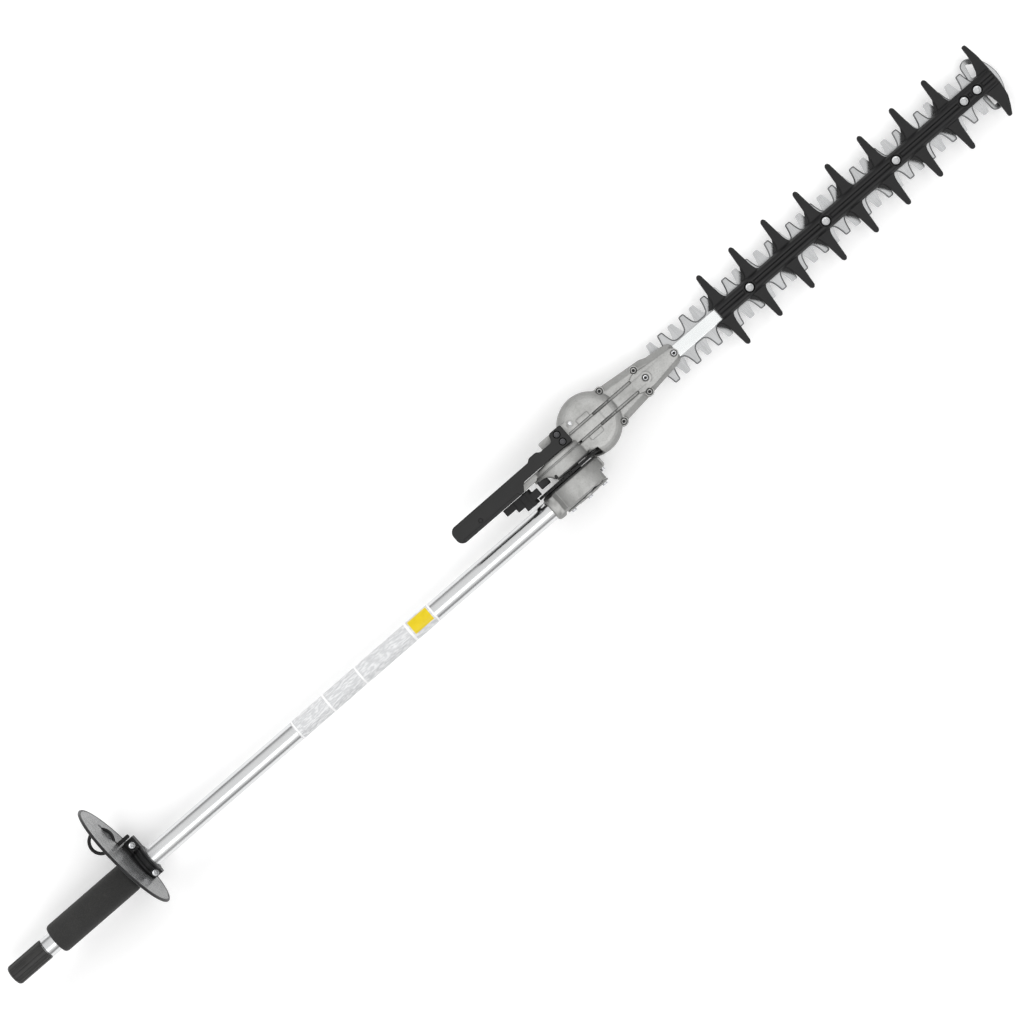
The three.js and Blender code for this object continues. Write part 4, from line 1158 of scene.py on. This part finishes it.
def tip_guard():
    low, high = corners("tip_guard")
    outline = [(1504, 38), (1516, 36), (1517, 14), (1524, 10), (1537, 14), (1546, 28), (1550, 44), (1547, 62),
               (1539, 76), (1528, 82), (1519, 78), (1516, 52), (1504, 50)]
    radii = [5, 3, 4, 5, 7, 8, 9, 9, 7, 6, 4, 3, 5]
    plate = ground_plate("tip_guard_ground", spaced(rounded(outline, radii)), low.z, high.z, 1.1, 1.0)
    span = low.z - 2, high.z + 2
    for window in ([(1522, 58), (1540, 56), (1535, 70), (1526, 76)],
                   [(1522, 17), (1534, 20), (1541, 32), (1522, 32)]):
        cut(plate, slab(rounded(window, 2.5), *span))
    last = BAR_SCREWS[4]
    cut(plate, rod(HOLE_R, *span, along_z(last.x, last.y), 32))
    dress(plate, None, "head", "bright", ["tip_guard"], crease=20)


# ---- inner pieces, which keep their CAD meshes --------------------------------------
def inner_pieces():
    """Finishes for the shafts, gears, bearings and rods inside, with their edges just broken."""
    for name, node in frame["nodes"].items():
        if node.hide_render:
            continue
        material, slot = (POLYMER, "polymer") if name.startswith("shaft_bush") else (GEAR, "gear_steel")
        node.data.materials.clear()
        node.data.materials.append(material)
        edge = node.modifiers.new("broken_edges", "BEVEL")
        edge.width = 0.15 * MM
        edge.segments = 2
        edge.limit_method = "ANGLE"
        edge.angle_limit = math.radians(40)


# ---- floor, lights and camera ------------------------------------------------------
FLOOR_Z = cad_box[0][2] / MM
FLOOR_REACH = 6000
# Brightness of the studio's dome against height above the horizon.
SKY = ((0.0, 0.5), (0.22, 0.3), (0.42, 0.55), (0.6, 0.95), (1.0, 1.0))
SKY_STRENGTH = 0.95
# Each lamp's name, place, size and power, and whether it shows in shiny surfaces; in metres.
LAMPS = (("left_bank", (0.2, 2.3, 1.9), (2.4, 0.7), 26, False),
         ("right_bank", (0.9, -1.0, 2.4), (3.4, 1.3), 20, True))
LAMP_TARGET = Vector((0.78, 0.03, 0))
# The camera looks straight down; its turn lays the pole along the picture's diagonal.
CAMERA_PLACE = (0.7864, 0.0281, 3.4600)
CAMERA_TURN = math.radians(-40.95)
CAMERA_LENS = 105.3


def floor():
    span = -FLOOR_REACH, FLOOR_REACH
    ground = raw_object("floor", ([(x, y, FLOOR_Z - 0.05) for x, y in rectangle(span, span)], [(0, 1, 2, 3)]))
    ground.data.materials.append(floor_paper())


def softbox(name, place, size, power, glossy):
    light = bpy.data.lights.new(name, "AREA")
    light.shape = "RECTANGLE"
    light.size, light.size_y = size
    light.energy = power
    made = bpy.data.objects.new(name, light)
    made.location = place
    made.rotation_euler = (LAMP_TARGET - Vector(place)).to_track_quat("-Z", "Y").to_euler()
    made.visible_glossy = glossy
    bpy.context.scene.collection.objects.link(made)


def studio():
    for lamp in LAMPS:
        softbox(*lamp)
    world = bpy.data.worlds.new("studio")
    world.use_nodes = True
    tree = world.node_tree
    sky = tree.nodes.new("ShaderNodeTexCoord")
    height = tree.nodes.new("ShaderNodeSeparateXYZ")
    bands = tree.nodes.new("ShaderNodeValToRGB")
    set_ramp(bands, [(position, (grey, grey, grey)) for position, grey in SKY])
    tree.links.new(sky.outputs["Generated"], height.inputs["Vector"])
    tree.links.new(height.outputs["Z"], bands.inputs["Fac"])
    tree.links.new(bands.outputs["Color"], tree.nodes["Background"].inputs["Color"])
    tree.nodes["Background"].inputs["Strength"].default_value = SKY_STRENGTH
    bpy.context.scene.world = world
    bpy.context.scene.view_settings.view_transform = "Standard"


def camera():
    data = bpy.data.cameras.new("camera")
    data.sensor_width = 36
    data.lens = CAMERA_LENS
    made = bpy.data.objects.new("camera", data)
    made.location = CAMERA_PLACE
    made.rotation_euler = (0, 0, CAMERA_TURN)
    bpy.context.scene.collection.objects.link(made)
    bpy.context.scene.camera = made


# ---- build -------------------------------------------------------------------------
for build in (end_cap, pole_tube, pole_label, grip_sleeve, guard_disc, hanging_ring, clamp, pole_gear_case,
              gear_cover, index_plate, head_cases, handle_bar, lock_lever, lever_spring, lever_stop, blades,
              guide_bar, spiked_guard, tip_guard, inner_pieces, floor, studio, camera):
    build()
